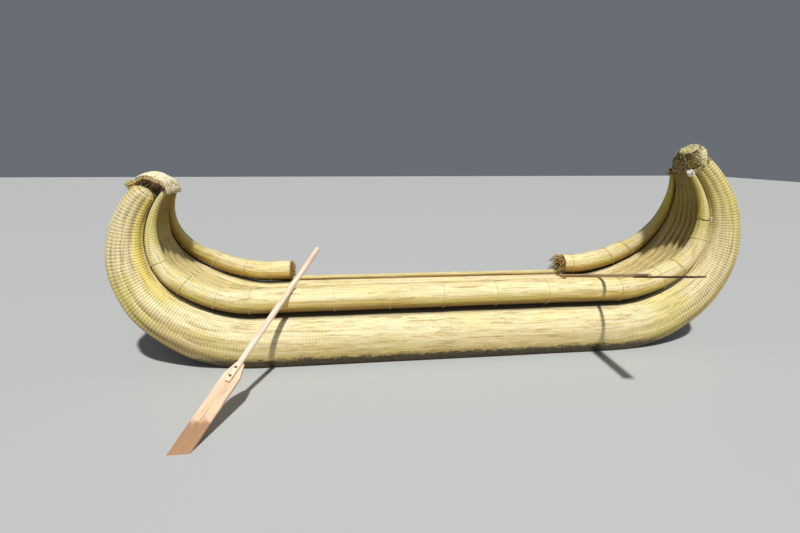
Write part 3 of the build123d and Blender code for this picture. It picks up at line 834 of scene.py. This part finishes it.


# shade_straw is nearly black: painted shade under the brush, in the fold of the mat and on its skirt.
brush_straw, end_straw, mat_straw, hem_straw, shade_straw, cord_straw, dark_cord = [
    straw_material(*row) for row in (
        ("brush_straw", (1.0, 0.92, 0.55), (0.34, 0.25, 0.07), (0.20, 0.13, 0.035), 130),
        ("end_straw", (0.62, 0.42, 0.16), (0.36, 0.20, 0.06), (0.07, 0.04, 0.015)),
        ("mat_straw", (0.97, 0.93, 0.78), (0.84, 0.70, 0.40), (0.42, 0.30, 0.12), 26),
        ("hem_straw", (0.74, 0.58, 0.24), (0.48, 0.33, 0.10), (0.14, 0.08, 0.02)),
        ("shade_straw", (0.22, 0.15, 0.06), (0.09, 0.06, 0.022), (0.03, 0.02, 0.01)),
        ("cord_straw", (0.90, 0.78, 0.46), (0.82, 0.68, 0.34), (0.66, 0.52, 0.24)),
        ("dark_cord", (0.24, 0.18, 0.07), (0.14, 0.10, 0.04), (0.05, 0.035, 0.015)),
    )]
# The hollows of cut reeds are nearly black: painted shade inside the reed.
hollow_shade, t, shader = new_material("hollow_shade", 0.9, 0.1)
painted_hollow_shade = mixed(t, ramp(t, own_noise(t, 90), 0.45, 0.6), (0.045, 0.026, 0.010), (0.22, 0.13, 0.04))
t.links.new(painted_hollow_shade, shader.inputs["Base Color"])
print("straw finishes ready, the palest is", mat_straw.name)

# %% Cloth and steel materials
def cloth_material(name, clean, soil):
    """Strips of cloth, soiled in patches, with creases and a weave."""
    material, t, shader = new_material(name, 0.75)
    colour = mixed(t, times(t, ramp(t, own_noise(t, 30), 0.45, 0.65), 0.6), clean, soil)
    links = {"Vector": own_space(t), "Scale": 160, "Distortion": 3}
    weave = add(t, "ShaderNodeTexWave", links).outputs["Fac"]
    crease = scaled(t, own_noise(t, 70), 1.6, times(t, weave, 0.25))
    coat(t, shader, colour, None, crease, 0.8, 0.004)
    return material


white_cloth = cloth_material("white_cloth", (0.93, 0.92, 0.87), (0.66, 0.60, 0.46))
brown_cloth = cloth_material("brown_cloth", (0.30, 0.22, 0.12), (0.12, 0.07, 0.03))

bolt_steel, t, shader = new_material("bolt_steel", 0.6, 0.5)
rust = ramp(t, own_noise(t, 120), 0.42, 0.62)
rusty = mixed(t, rust, (0.10, 0.09, 0.085), (0.17, 0.065, 0.025))
t.links.new(scaled(t, rust, -0.8, 0.8), shader.inputs["Metallic"])
coat(t, shader, rusty, scaled(t, rust, 0.35, 0.45), own_noise(t, 300), 0.5, 0.001)
print("cloth and steel finishes ready:", white_cloth.name, brown_cloth.name, bolt_steel.name)

# %% [markdown]
# ## The brush on the bow
#
# Where the bow rolls end, a bundle of cut reeds is bound in like a brush, trimmed to a dome. Its
# cut ends make the speckled top. It could be a textured dome, but from close by it would look
# flat, so a core of nearly black straw, painted shade between the reeds, carries about fifteen
# hundred real reed ends that fan outwards. They stand out a little in clumps, and the reeds on
# the inner side get lower tones as painted shade. The dome's sections are the frame's: distance
# from the roll ends, centre, half width and half height. Round it show the cut ends of the hull
# and floor rolls, made from the same reeds.

# %% Bow brush
BRUSH_SECTIONS = np.array([
    (0.000, 0.004, 0.206, 0.112),
    (0.055, -0.010, 0.212, 0.138),
    (0.120, -0.040, 0.186, 0.128),
    (0.170, -0.066, 0.108, 0.074),
])
BRUSH_TOP = BRUSH_SECTIONS[-1, 0]
brush_curves = [np.polyfit(BRUSH_SECTIONS[:, 0], BRUSH_SECTIONS[:, k], 3) for k in (1, 2, 3)]
bow_tip, bow_run, bow_in = spine_frame(BOW_TIP)
bow_point = bow_tip + bow_run * SEAT


def brush_point(distance, turn, share=1.0):
    """Point of the dome at a distance from its base and an angle, or nearer its middle line."""
    centre, wide, high = [np.polyval(curve, distance) for curve in brush_curves]
    aside = share * wide * np.cos(turn)
    inward = centre + share * high * np.sin(turn)
    return bow_point + distance[..., None] * bow_run + aside[..., None] * PORT + inward[..., None] * bow_in


REED_STEP, ROW_STEP, SHARE_STEP, CUT_LENGTH = 0.0135, 0.0105, 0.125, 0.045
brush_rows = [(distance, 1.0) for distance in np.arange(-0.012, BRUSH_TOP, ROW_STEP)]
brush_rows += [(BRUSH_TOP, share) for share in np.arange(0.06, 1.0, SHARE_STEP)]
distances, angles, shares = [], [], []
for distance, share in brush_rows:
    wide, high = [np.polyval(curve, distance) for curve in brush_curves[1:]]
    count = int(math.pi * share * (wide + high) / REED_STEP)
    distances += [distance] * count
    angles += list((np.arange(count) + chance.random()) * 2 * math.pi / count)
    shares += [share] * count
distances, angles, shares = np.array(distances), np.array(angles), np.array(shares)
angles += chance.normal(0, 0.012, len(angles))
here = brush_point(distances, angles, shares)
step = 1e-3
flow = brush_point(distances + step, angles, shares) - brush_point(distances - step, angles, shares)
round_it = brush_point(distances, angles + step, shares) - brush_point(distances, angles - step, shares)
outward = unit(np.cross(round_it, flow))
flat_top = (shares < 1)[:, None]
outward = np.where(flat_top, bow_run + 0.9 * shares[:, None] ** 2 * outward, outward)
axes = unit(outward + 0.35 * bow_run + chance.normal(0, 0.13, outward.shape))
CLUMPS = 420
clump_middles = here[chance.permutation(len(here))[:CLUMPS]]
clump = np.linalg.norm(here[:, None] - clump_middles[None], axis=2).argmin(axis=1)
trimmed = (0.001 + 0.005 * chance.random(CLUMPS)[clump] + 0.006 * chance.random(len(here)))[:, None]
# Reeds on the inner side of the curl get lower tones: painted shade.
inward = np.clip(unit(outward) @ bow_in * 0.8 + ((here - bow_point) @ bow_in + 0.03) / 0.20, 0, 1)
tones = 0.27 + 0.50 * chance.random(CLUMPS)[clump] + 0.60 * chance.random(len(here)) - 0.85 * inward
brush = cut_reeds(
    "bow_brush_reeds", here - unit(outward) * trimmed, axes,
    reed_radii(len(here), least=0.0060, extra=0.0022), CUT_LENGTH, [brush_straw, hollow_shade],
    np.clip(tones, 0, 1))
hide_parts("bow_brush")
print(brush.name, len(here), "reeds")

# The core is nearly black straw: painted shade between the reeds.
CORE_SIDES, CORE_ROWS, CORE_SHARE = 48, 9, 0.93
core_turns = np.linspace(0, 2 * math.pi, CORE_SIDES, endpoint=False)
core_rows = [
    brush_point(np.full(CORE_SIDES, distance), core_turns, CORE_SHARE)
    for distance in np.linspace(0.002, BRUSH_TOP - 0.016, CORE_ROWS)]
core = straw_object("bow_brush_core", np.stack(core_rows)[None], np.zeros(1), [shade_straw])
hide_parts("bow_brush")
print(core.name, "under them")

# %% Reed ends of the hull and floor rolls, round the brush
GOLDEN_TURN = math.pi * (3 - math.sqrt(5))
# Reed ends that each hull roll and each floor roll shows, and the highest tone of each kind.
# The floor rolls' ends get the lower tones: painted shade in the curl of the bow.
HULL_ENDS, FLOOR_ENDS, HULL_TONE, FLOOR_TONE = 230, 26, 0.9, 0.35


def disc_of_reeds(count, size):
    """Reach and angle of points that fill a disc evenly."""
    number = np.arange(count)
    return np.sqrt((number + 0.5) / count) * size, number * GOLDEN_TURN


def roll_end(place, across, up, size, count):
    """Points that fill the cut end of a roll."""
    reach, turn = disc_of_reeds(count, size)
    return on_section(np.full(count, place), across + reach * np.cos(turn), up + reach * np.sin(turn), 1)


half, radius, _, _, thin = [float(v[0]) for v in sizes_at(np.array([BOW_TIP]))]
floor_up = math.sqrt((radius + thin + SEAT) ** 2 - (half - (FLOOR_ROLLS - 1) * thin) ** 2)
ended = [(half * side, 0.0, radius, HULL_ENDS) for side in (-1, 1)]
ended += [((number - MIDDLE_ROLL) * 2 * thin, floor_up, thin, FLOOR_ENDS) for number in range(FLOOR_ROLLS)]
rim_ends = np.concatenate([
    roll_end(BOW_TIP, across, up, size - 0.005, count) for across, up, size, count in ended])
of_floor = (np.arange(len(rim_ends)) >= 2 * HULL_ENDS)[:, None]
rim_ends += bow_run * chance.uniform(0.002, 0.022, (len(rim_ends), 1)) * np.where(of_floor, 2.0, 1.0)
rim = cut_reeds(
    "bow_roll_ends", rim_ends, bow_run + 0.35 * bow_in * of_floor + chance.normal(0, 0.14, rim_ends.shape),
    reed_radii(len(rim_ends), least=0.0060, extra=0.002), CUT_LENGTH, [brush_straw, hollow_shade],
    chance.random(len(rim_ends)) * np.where(of_floor[:, 0], FLOOR_TONE, HULL_TONE))
print(rim.name, len(rim_ends), "reeds")

# %% [markdown]
# ## Cut ends of the port gunwale
#
# At the boarding gap the gunwale roll is sawn off, and the ends of its reeds show as a rough
# brown disc. The same cut reeds make it, laid out from the middle like the seeds of a
# sunflower, which fills a disc evenly with one simple rule. Broken reeds stick out of it, long
# ones at the bow end.

# %% Sawn and frayed ends of the gunwale
LONG_POINTS, SHORT_POINTS = 8, 5
share, short = np.linspace(0, 1, LONG_POINTS), np.linspace(0, 1, SHORT_POINTS)
SAWN_REEDS, STRAY_REEDS = 190, 150
for label, place, heading, longest in (("stern", GAP_STERN, 1, 0.04), ("bow", GAP_BOW, -1, 0.12)):
    across, up, size, _ = [float(v[0]) for v in gunwale_section(np.array([place]))]
    ends = roll_end(place, across, up, size - 0.009, SAWN_REEDS)
    ends[:, 0] += heading * chance.uniform(0.002, 0.016, SAWN_REEDS)
    axes = np.array([heading, 0, 0]) + chance.normal(0, 0.10, ends.shape)
    sawn = cut_reeds(
        f"sawn_end_{label}", ends, axes, reed_radii(SAWN_REEDS, least=0.0058, extra=0.002),
        length=0.030, materials=[end_straw, hollow_shade])
    middle = ends.mean(axis=0)
    stray = ends[chance.permutation(len(ends))[:STRAY_REEDS]]
    outward = (stray - middle) * 6 + np.array([heading, 0, 0.1]) + chance.normal(0, 0.22, stray.shape)
    length = longest * chance.uniform(0.25, 1.0, (len(stray), 1, 1))
    sag = np.array([0, 0, -0.4]) * length * short[:, None] ** 2
    stray_paths = stray[:, None] + unit(outward)[:, None] * length * short[:, None] + sag
    frayed = straws(f"frayed_end_{label}", stray_paths, radii=0.0034, sides=4, material=end_straw)
    print(sawn.name, SAWN_REEDS, "reeds, and", frayed.name)

# %% [markdown]
# ## The mat on the stern
#
# The stern tip is closed with a mat of pale straw, folded over from the outer side and tied at
# its foot. It is loose straw more than cloth, so it is not simulated: a thin body follows the
# frame's profile and sags at both side edges, and straws lie over it from foot to lip. At the
# lip they run on as a fringe, and along each side edge they roll up into a hem. Cut reeds of
# nearly black straw fill the fold as painted shade, and a skirt of straws in the same painted
# shade hangs from its edges, so no smooth face shows there.

# %% Body of the mat
MAT_FOOT, MAT_SEAT, MAT_THICKNESS, MAT_HALF = -1.88, 0.0012, 0.026, 0.150
# Outer then inner face in millimetres, from foot to lip and back: along the spine, and outwards.
MAT_MIDDLE = ((-125, 140), (24, 56), (46, -34), (40, -100), (14, -100), (20, -34), (4, 38), (-130, 112))
MAT_SIDE = ((-125, 132), (0, 24), (30, -40), (32, -100), (6, -100), (4, -52), (-30, -8), (-128, 104))
stern_point, to_bow, stern_in = spine_frame(STERN_TIP)
stern_run, stern_out = -to_bow, -stern_in


def through(first, middle, last, share):
    """Points on the arc through three points, at shares of its turn."""
    first, middle, last = [np.array(p, float) for p in (first, middle, last)]
    lines = 2 * np.array([middle - first, last - first])
    centre = np.linalg.solve(lines, [middle @ middle - first @ first, last @ last - first @ first])
    angles = [math.atan2(*(p - centre)[::-1]) for p in (first, middle, last)]
    turn = (angles[2] - angles[0]) % (2 * math.pi)
    if (angles[1] - angles[0]) % (2 * math.pi) > turn:
        turn -= 2 * math.pi
    at = angles[0] + turn * share
    return centre + np.linalg.norm(first - centre) * np.stack([np.cos(at), np.sin(at)], axis=-1)


def foot_point(lift):
    """The mat's foot in its own profile, at a height over the hull roll."""
    _, radius, _, _, _ = sizes_at(np.array([MAT_FOOT]))
    up = -(radius * math.cos(LEAN) + MAT_SEAT + lift)
    away = on_section(np.array([MAT_FOOT]), np.zeros(1), up, 1)[0] - stern_point
    return away @ stern_run, away @ stern_out


def profile(points, steps):
    """Outer and inner face of one profile, in metres, from foot to lip."""
    points = [(x / 1000, y / 1000) for x, y in points]
    half = np.linspace(0, 1, steps // 2 + 1)
    outer = [through(foot_point(MAT_THICKNESS), *points[:2], half), through(*points[1:4], half)[1:]]
    inner = [through(foot_point(0), *points[:5:-1], half), through(*points[6:3:-1], half)[1:]]
    return np.concatenate(outer), np.concatenate(inner)


MAT_STEPS = 56
mat_middle, mat_side = profile(MAT_MIDDLE, MAT_STEPS), profile(MAT_SIDE, MAT_STEPS)


def mat_point(along, across, depth):
    """Point of the mat: 0 to 1 from foot to lip, -1 to 1 across, 0 to 1 from outer to inner face."""
    row = along * MAT_STEPS
    level = across**2
    flat = []
    for axis in (0, 1):
        faces = []
        for middle, edge in zip(mat_middle, mat_side):
            line = np.interp(row, np.arange(MAT_STEPS + 1), middle[:, axis])
            rim = np.interp(row, np.arange(MAT_STEPS + 1), edge[:, axis])
            faces.append(line + (rim - line) * level)
        flat.append(faces[0] + (faces[1] - faces[0]) * depth)
    side = (across * MAT_HALF)[..., None] * PORT
    return stern_point + flat[0][..., None] * stern_run + flat[1][..., None] * stern_out + side


MAT_COLUMNS, MAT_ROWS = 41, 49
across_steps = np.linspace(-1, 1, MAT_COLUMNS)
loop_across = np.concatenate([across_steps, across_steps[::-1]])
loop_depth = np.repeat([0.22, 0.95], MAT_COLUMNS)
along, across = np.meshgrid(np.linspace(0, 1, MAT_ROWS), loop_across, indexing="ij")
depth = np.broadcast_to(loop_depth, along.shape)
lumps = 0.16 * np.sin(along * 23 + across * 9) * np.cos(across * 17 - along * 5)
body_points = mat_point(along, across * 0.97, depth + np.where(depth < 0.5, lumps, 0))
mat_body = straw_object("stern_mat_body", body_points[None], np.full(1, 0.4), [mat_straw])
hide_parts("stern_wrap")
print(mat_body.name, len(mat_body.data.polygons), "faces")

# %% Reeds packed under the mat
FILL_REEDS = 420
reach, turn = disc_of_reeds(FILL_REEDS, 1.0)
fill_across, fill_up = 0.136 * reach * np.cos(turn), 0.004 + 0.078 * reach * np.sin(turn)
level = (fill_across / MAT_HALF) ** 2
limits = [np.interp(fill_up, face[::-1, 1], face[::-1, 0]) for face in (mat_middle[1], mat_side[1])]
fill_end = limits[0] + (limits[1] - limits[0]) * level - chance.uniform(0.010, 0.035, FILL_REEDS)
fill_end = np.maximum(fill_end, -0.110)
ends = stern_point + fill_end[:, None] * stern_run + fill_up[:, None] * stern_out
ends[:, 1] += fill_across
# They are nearly black straw: painted shade in the fold.
packed = cut_reeds(
    "stern_mat_filling", ends, stern_run + chance.normal(0, 0.10, ends.shape),
    reed_radii(FILL_REEDS, least=0.0062, extra=0.002), length=0.11,
    materials=[shade_straw, hollow_shade])
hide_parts("stern_wrap")
print(packed.name, FILL_REEDS, "reeds")

# %% Straws over the mat
MAT_STRAWS = 1500
each = (MAT_STRAWS, 1)
start = chance.uniform(-0.02, 0.55, each)
along = np.clip(start + share * chance.uniform(0.25, 0.6, each), 0, 1)
drift = chance.normal(0, 0.05, each) * share + chance.normal(0, 0.012, each) * np.sin(share * 7)
across = np.clip(chance.uniform(-0.98, 0.98, each) + drift, -1, 1)
depth = chance.uniform(-0.10, 0.22, each) + 0.07 * np.sin(share * 5 + start * 20)
depth += 0.10 * np.sin(along * 21 + across * 8) * np.cos(across * 15)
laid_path = mat_point(along, across, depth)
laid = straws("stern_mat_straws", laid_path, radii=0.0026, sides=4, material=mat_straw)
print(laid.name, MAT_STRAWS, "straws")

# %% Fringe at the lip, skirt and rolled hems along the side edges
FRINGE_STRAWS = 360
each = (FRINGE_STRAWS, 1)
across = chance.uniform(-0.99, 0.99, each)
root = mat_point(np.full(each, 0.97), across, chance.uniform(0.0, 0.9, each))
length = chance.uniform(0.015, 0.06, (*each, 1))
droop = -stern_out * 0.75 + np.array([0.05, 0, -0.75]) + chance.normal(0, 0.16, (*each, 3))
sag = np.array([0, 0, -0.35]) * length * short[:, None] ** 2
fringe_path = root + unit(droop) * length * short[:, None] + sag
fringe = straws("stern_mat_fringe", fringe_path, radii=0.0024, sides=4, material=mat_straw)

# The skirt is nearly black straw: painted shade under the mat's edges.
SKIRT_STRAWS = 760
each = (SKIRT_STRAWS, 1)
edge = both_ways(SKIRT_STRAWS)[:, None]
root_along = 0.97 * chance.random(each) ** 1.6
root_across = edge * chance.uniform(0.80, 0.99, each)
root = mat_point(root_along, root_across, chance.uniform(0.2, 1.3, each))
hang = np.array([0, 0, -1.0]) - 0.45 * stern_run + chance.normal(0, 0.22, (*each, 3))
hang = hang + edge[:, :, None] * np.array([0, 0.10, 0])
length = chance.uniform(0.025, 0.070, (*each, 1))
skirt_path = root + unit(hang) * length * short[:, None]
skirt = straws("stern_mat_skirt", skirt_path, radii=0.0028, sides=4, material=shade_straw)

HEM_STRAWS, HEM_POINTS = 110, 30
number = np.arange(HEM_STRAWS)[:, None]
hem_share = np.linspace(0.0, 1.0, HEM_POINTS)
turn = number * GOLDEN_TURN + hem_share * 9
reach = 0.85 * np.sqrt((number + 1) / HEM_STRAWS)
hem_across = both_ways(HEM_STRAWS)[:, None] * (0.92 + 0.075 * reach * np.cos(turn))
hem_depth = 0.75 + 0.8 * reach * np.sin(turn)
hem_path = mat_point(hem_share * np.ones((HEM_STRAWS, 1)), hem_across, hem_depth)
hem = straws("stern_mat_hem", hem_path, radii=0.0042, sides=5, material=hem_straw)
for piece in (laid, fringe, skirt, hem):
    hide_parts("stern_wrap")
print("mat:", laid.name, fringe.name, skirt.name, hem.name)

# %% [markdown]
# ## Knots and lashings
#
# The mat's foot is tied into stubby tufts of straw, two in the middle and two at each corner.
# The gunwale ends at the bow are wound with strips of cloth, white to starboard and brown to
# port. The gunwales are lashed down with thin two-strand cord that is laid in the same way as
# rope: two strands wound round each other along the loop. One thin dark cord lies aslant round
# the starboard gunwale near the bow.

# %% Tufts at the foot of the mat
TUFT_LENGTH, TUFT_STRAWS, TUFT_RADIUS = 0.105, 110, 0.0032
neck_run, neck_out = foot_point(MAT_THICKNESS)
neck = stern_point + neck_run * stern_run + neck_out * stern_out
tuft = both_ways(TUFT_STRAWS)[:, None, None]
heading = -stern_run + PORT * tuft * 0.32 + stern_out * tuft * 0.12
fan = unit(heading + chance.normal(0, 0.10, (TUFT_STRAWS, 1, 3)))
spread = chance.normal(0, 0.008, (TUFT_STRAWS, 1, 3))
length = TUFT_LENGTH * chance.uniform(0.7, 0.98, (TUFT_STRAWS, 1, 1))
pinch = np.sin(np.clip(short * 2.2, 0, math.pi / 2))[:, None]
tuft_path = neck + spread * (0.5 + pinch) + fan * length * short[:, None]
tufts = straws("stern_knot_tufts", tuft_path, TUFT_RADIUS, sides=5, material=mat_straw)
print(tufts.name, TUFT_STRAWS, "straws")

# %% Bound tufts at the corners of the mat, and the cords round them all
CORNER_STRAWS, CORNER_LENGTH = 34, 0.092


def wound(centre, axis, radius, length, turns, points_per_turn=14, shake=0.0):
    """Path of a cord wound round an axis, with its turns a little uneven where shake isn't zero."""
    axis = unit(np.array(axis, float))
    across = unit(np.cross(axis, [0, 1.0, 0.2]))
    over = np.cross(axis, across)
    at = np.linspace(0, 1, int(turns * points_per_turn))
    angle = at * turns * 2 * math.pi
    reach = radius + shake * np.sin(at * 37) * np.cos(at * 11)
    lift = length * (at + 0.5 / turns * 0.6 * np.sin(angle * 0.5) * (shake > 0))
    ring = across * np.cos(angle)[:, None] + over * np.sin(angle)[:, None]
    return centre + axis * lift[:, None] + reach[:, None] * ring


corner_paths, corner_binds = [], []
for corner in (-1, 1):
    root = mat_point(np.array([0.05]), np.array([0.93 * corner]), np.array([0.4]))[0]
    for lengthwise, drop in ((1.0, 0.30), (0.75, -0.55)):
        heading = unit(-stern_run * lengthwise + np.array([0, 0.42 * corner, drop]))
        fan = unit(heading + chance.normal(0, 0.11, (CORNER_STRAWS, 1, 3)))
        length = CORNER_LENGTH * chance.uniform(0.75, 1.0, (CORNER_STRAWS, 1, 1))
        spread = chance.normal(0, 0.0065, (CORNER_STRAWS, 1, 3))
        corner_paths.append(root + spread * (0.6 + pinch) + fan * length * short[:, None])
        bind_start = root + heading * 0.018
        corner_binds.append(wound(bind_start, heading, radius=0.015, length=0.012, turns=3))
corner_tufts = straws(
    "stern_corner_tufts", np.concatenate(corner_paths), TUFT_RADIUS, sides=5, material=hem_straw)
corner_cord = straws(
    "stern_corner_cord", np.array(corner_binds), radii=0.003, sides=5, material=dark_cord)
bind_path = wound(neck - stern_run * 0.022, -stern_run, radius=0.019, length=0.018, turns=4)
binding = straws("stern_knot_binding", bind_path[None], radii=0.0036, sides=6, material=cord_straw)
for piece in (tufts, corner_tufts, corner_cord, binding):
    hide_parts("stern_knot")
print(corner_tufts.name, len(corner_binds), "tufts of", CORNER_STRAWS, "straws")

# %% Cloth wraps on the gunwale ends
WRAP_RADIUS, WRAP_LENGTH, WRAP_TURNS, STRIP = 0.033, 0.062, 5, 0.0085
TAIL_POINTS, CORE_POINTS = 10, 7
wrap_place = np.array([GUNWALE_BOW_END])
_, onward, _ = spine_frame(GUNWALE_BOW_END)
half, radius, _, _, _ = sizes_at(wrap_place)
reach = radius + WRAP_RADIUS + 2 * SEAT
share = np.linspace(0, 1, TAIL_POINTS)
for side, label, cloth in ((-1, "starboard", white_cloth), (1, "port", brown_cloth)):
    centre = on_section(wrap_place, half + reach * math.sin(LEAN), reach * math.cos(LEAN), side)[0]
    turns_path = wound(
        centre + onward * 0.009, onward, WRAP_RADIUS - STRIP, WRAP_LENGTH - 0.018, WRAP_TURNS,
        points_per_turn=16, shake=0.0015)
    size = STRIP * (1 + 0.18 * np.sin(np.arange(len(turns_path)) * 0.9))
    wrap = straws(f"bow_wrap_{label}", turns_path[None], size, sides=8, material=cloth)
    aside = np.array([0, side, 0.0])
    tails = []
    for lean, rise in ((1.0, 0.5), (0.5, -0.35)):
        tail = unit(aside * lean + onward * rise) * 0.034
        arch = np.array([0, 0, 0.010]) * np.sin(share * 3)[:, None]
        tails.append(centre + onward * 0.035 + aside * 0.018 + tail * share[:, None] + arch)
    tail_size = STRIP * (0.75 + 0.45 * np.sin(share * 3.0))
    ends = straws(f"bow_wrap_tails_{label}", np.array(tails), tail_size, sides=7, material=cloth)
    core_path = centre + onward * np.linspace(0.002, WRAP_LENGTH - 0.006, CORE_POINTS)[:, None]
    core_size = 0.021 * np.sqrt(1 - np.linspace(-0.9, 0.95, CORE_POINTS) ** 2)
    middle = straws(f"bow_wrap_core_{label}", core_path[None], core_size, sides=12, material=cloth)
    for piece in (wrap, ends, middle):
        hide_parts(f"bow_knot_{label}")
    print(wrap.name, WRAP_TURNS, "turns")

# %% Two-strand lashings
CORD_RADIUS, CORD_LAY, CORD_POINTS = 0.0018, 0.016, 200
# Degrees of the roll that a loop leaves free, where the roll rests on the hull.
OPENING = 48
STERN_LASHINGS = (-1.3, -0.9, -0.5, -0.1)
MIDDLE_LASHINGS = (0.2, 0.35, 0.5, 0.65, 0.8)
BOW_LASHINGS = (1.1, 1.75, 2.05, 2.4)


def lashing_strands(place, side, lift=0.0020, skew=0.0):
    """The two strands of one cord loop round a gunwale roll. skew tilts the loop towards the tip."""
    length = float(spine([place])["length"][0])
    loop = float(gunwale_section(np.array([place]))[2][0]) + lift
    sweep = 360 - OPENING
    angle = np.radians(-90 - LEAN_TURN + OPENING / 2 + np.linspace(0, sweep, CORD_POINTS))
    twist = 2 * math.pi * np.linspace(0, math.radians(sweep) * loop / CORD_LAY, CORD_POINTS)
    apart_by = CORD_RADIUS * 0.85
    strands_of = []
    for phase in (0, math.pi):
        at = place_of(length + apart_by * np.sin(twist + phase) - skew * np.cos(angle))
        across, up, size, _ = gunwale_section(at)
        reach = size + lift + apart_by * np.cos(twist + phase)
        strands_of.append(on_section(at, across + reach * np.cos(angle), up + reach * np.sin(angle), side))
    return strands_of


for label, side, places in (
    ("starboard", -1, STERN_LASHINGS + MIDDLE_LASHINGS + BOW_LASHINGS),
    ("port", 1, STERN_LASHINGS + BOW_LASHINGS),
):
    cord_paths = np.array([line for place in places for line in lashing_strands(place, side)])
    lashing = straws(f"lashings_{label}", cord_paths, CORD_RADIUS, sides=4, material=cord_straw)
    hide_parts(f"gunwale_lashings_{label}")
    print(lashing.name, len(places), "loops")

# %% A thin dark cord round the starboard gunwale, with a small knot
KNOT_PLACE, KNOT_TURN, KNOT_SKEW = 2.60, math.radians(-38), 0.060
loop_paths = np.array(lashing_strands(KNOT_PLACE, -1, lift=0.0035, skew=KNOT_SKEW))
loop = straws("dark_loop", loop_paths, radii=0.0026, sides=5, material=dark_cord)
knot_at = place_of(spine([KNOT_PLACE])["length"] - KNOT_SKEW * math.cos(KNOT_TURN))
across, up, size, _ = gunwale_section(knot_at)
reach = size + 0.008
knot_across, knot_up = across + reach * math.cos(KNOT_TURN), up + reach * math.sin(KNOT_TURN)
knot_point = on_section(knot_at, knot_across, knot_up, -1)[0]
knot_start = knot_point - np.array([0, 0, 0.012])
knot_path = wound(knot_start, (0.1, -0.2, 1.0), radius=0.006, length=0.024, turns=4)
small_knot = straws("dark_loop_knot", knot_path[None], radii=0.0042, sides=6, material=white_cloth)
print(loop.name, "at place", KNOT_PLACE)

# %% [markdown]
# ## Oars
#
# The long oar is a peeled pole with a plank bolted to it, and the short one is slimmer. Their
# shapes are right in the frame, so the frame's own pieces stay, with a narrow bevel and a wood
# finish. The grain runs along each oar, so the finish needs to know that direction: it is
# measured from the shaft's own points.

# %% Grain direction and wood
def long_axis(node):
    """Unit vector along a slender piece, upwards."""
    points = np.array([v.co for v in nodes[node].data.vertices])
    run = np.linalg.svd(points - points.mean(axis=0), full_matrices=False)[2][0]
    return run * np.sign(run[2])


GRAIN_PULL, WET_WOOD = 0.94, (0.23, 0.10, 0.03)


def wood_material(name, run, pale, tan, dark, grain, wet_below=None):
    """Peeled or sawn wood with its grain along run, knots, and a wet foot below a height."""
    material, t, shader = new_material(name, 0.55, 0.35)
    at = own_space(t)
    along = add(t, "ShaderNodeVectorMath", {0: at, 1: run}, operation="DOT_PRODUCT").outputs["Value"]
    shorter = times(t, along, -GRAIN_PULL)
    pulled = add(t, "ShaderNodeVectorMath", {0: run, "Scale": shorter}, operation="SCALE").outputs[0]
    squeezed = add(t, "ShaderNodeVectorMath", {0: at, 1: pulled}, operation="ADD").outputs[0]
    fibre = noise_at(t, squeezed, grain, 5, 0.62)
    broad = noise_at(t, squeezed, grain * 0.22, 3)
    knot = add(t, "ShaderNodeTexVoronoi", {"Vector": squeezed, "Scale": 9.0}).outputs["Distance"]
    colour = mixed(t, ramp(t, broad, 0.35, 0.68), tan, pale)
    colour = tinted(t, colour, dark, ramp(t, fibre, 0.50, 0.66), 0.55)
    colour = tinted(t, colour, dark, ramp(t, knot, 0.085, 0.03), 0.8)
    rough = scaled(t, fibre, 0.3, 0.42)
    if wet_below is not None:
        uneven = scaled(t, own_noise(t, 14), 0.10, wet_below - 0.05)
        wetness = ramp(t, maths(t, "SUBTRACT", split(t, at)["Z"], uneven), 0.02, -0.02)
        colour = tinted(t, colour, WET_WOOD, wetness, 0.72)
        rough = scaled(t, wetness, -0.3, rough)
    coat(t, shader, colour, rough, fibre, 0.45, 0.0025)
    return material


print("wood finish ready")

# %% Oars, each in its own wood
def dress(node, material, bevel=None):
    """A frame piece with its finish, and a narrow bevel on its edges."""
    piece = nodes[node]
    if not piece.material_slots:
        piece.data.materials.append(None)
    for slot in piece.material_slots:
        slot.material = material
    if bevel:
        softened = piece.modifiers.new("worn_edges", "BEVEL")
        softened.width = bevel
        softened.segments = 2
        softened.limit_method = "ANGLE"
        softened.angle_limit = math.radians(35)
    print("dressed", node)


pole_run, short_run = long_axis("long_oar_shaft"), long_axis("short_oar_shaft")
pole_wood = wood_material(
    "long_oar_pole", pole_run, (0.90, 0.76, 0.62), (0.80, 0.61, 0.45), (0.38, 0.24, 0.14), 60)
blade_wood = wood_material(
    "long_oar_plank", pole_run, (0.84, 0.64, 0.47), (0.72, 0.49, 0.32), (0.34, 0.18, 0.09), 90,
    wet_below=0.26)
short_wood = wood_material(
    "short_oar_wood", short_run, (0.66, 0.48, 0.30), (0.54, 0.36, 0.20), (0.20, 0.12, 0.05), 80)
# The short oar's blade gets near-black wood: painted shade.
shaded_blade_wood = wood_material(
    "short_oar_shaded_blade_wood", short_run, (0.17, 0.11, 0.06), (0.11, 0.07, 0.035), (0.04, 0.025, 0.01), 80)
dress("long_oar_shaft", pole_wood)
dress("long_oar_blade", blade_wood, 0.004)
dress("long_oar_bolts", bolt_steel, 0.001)
dress("short_oar_shaft", short_wood)
dress("short_oar_blade", shaded_blade_wood, 0.003)
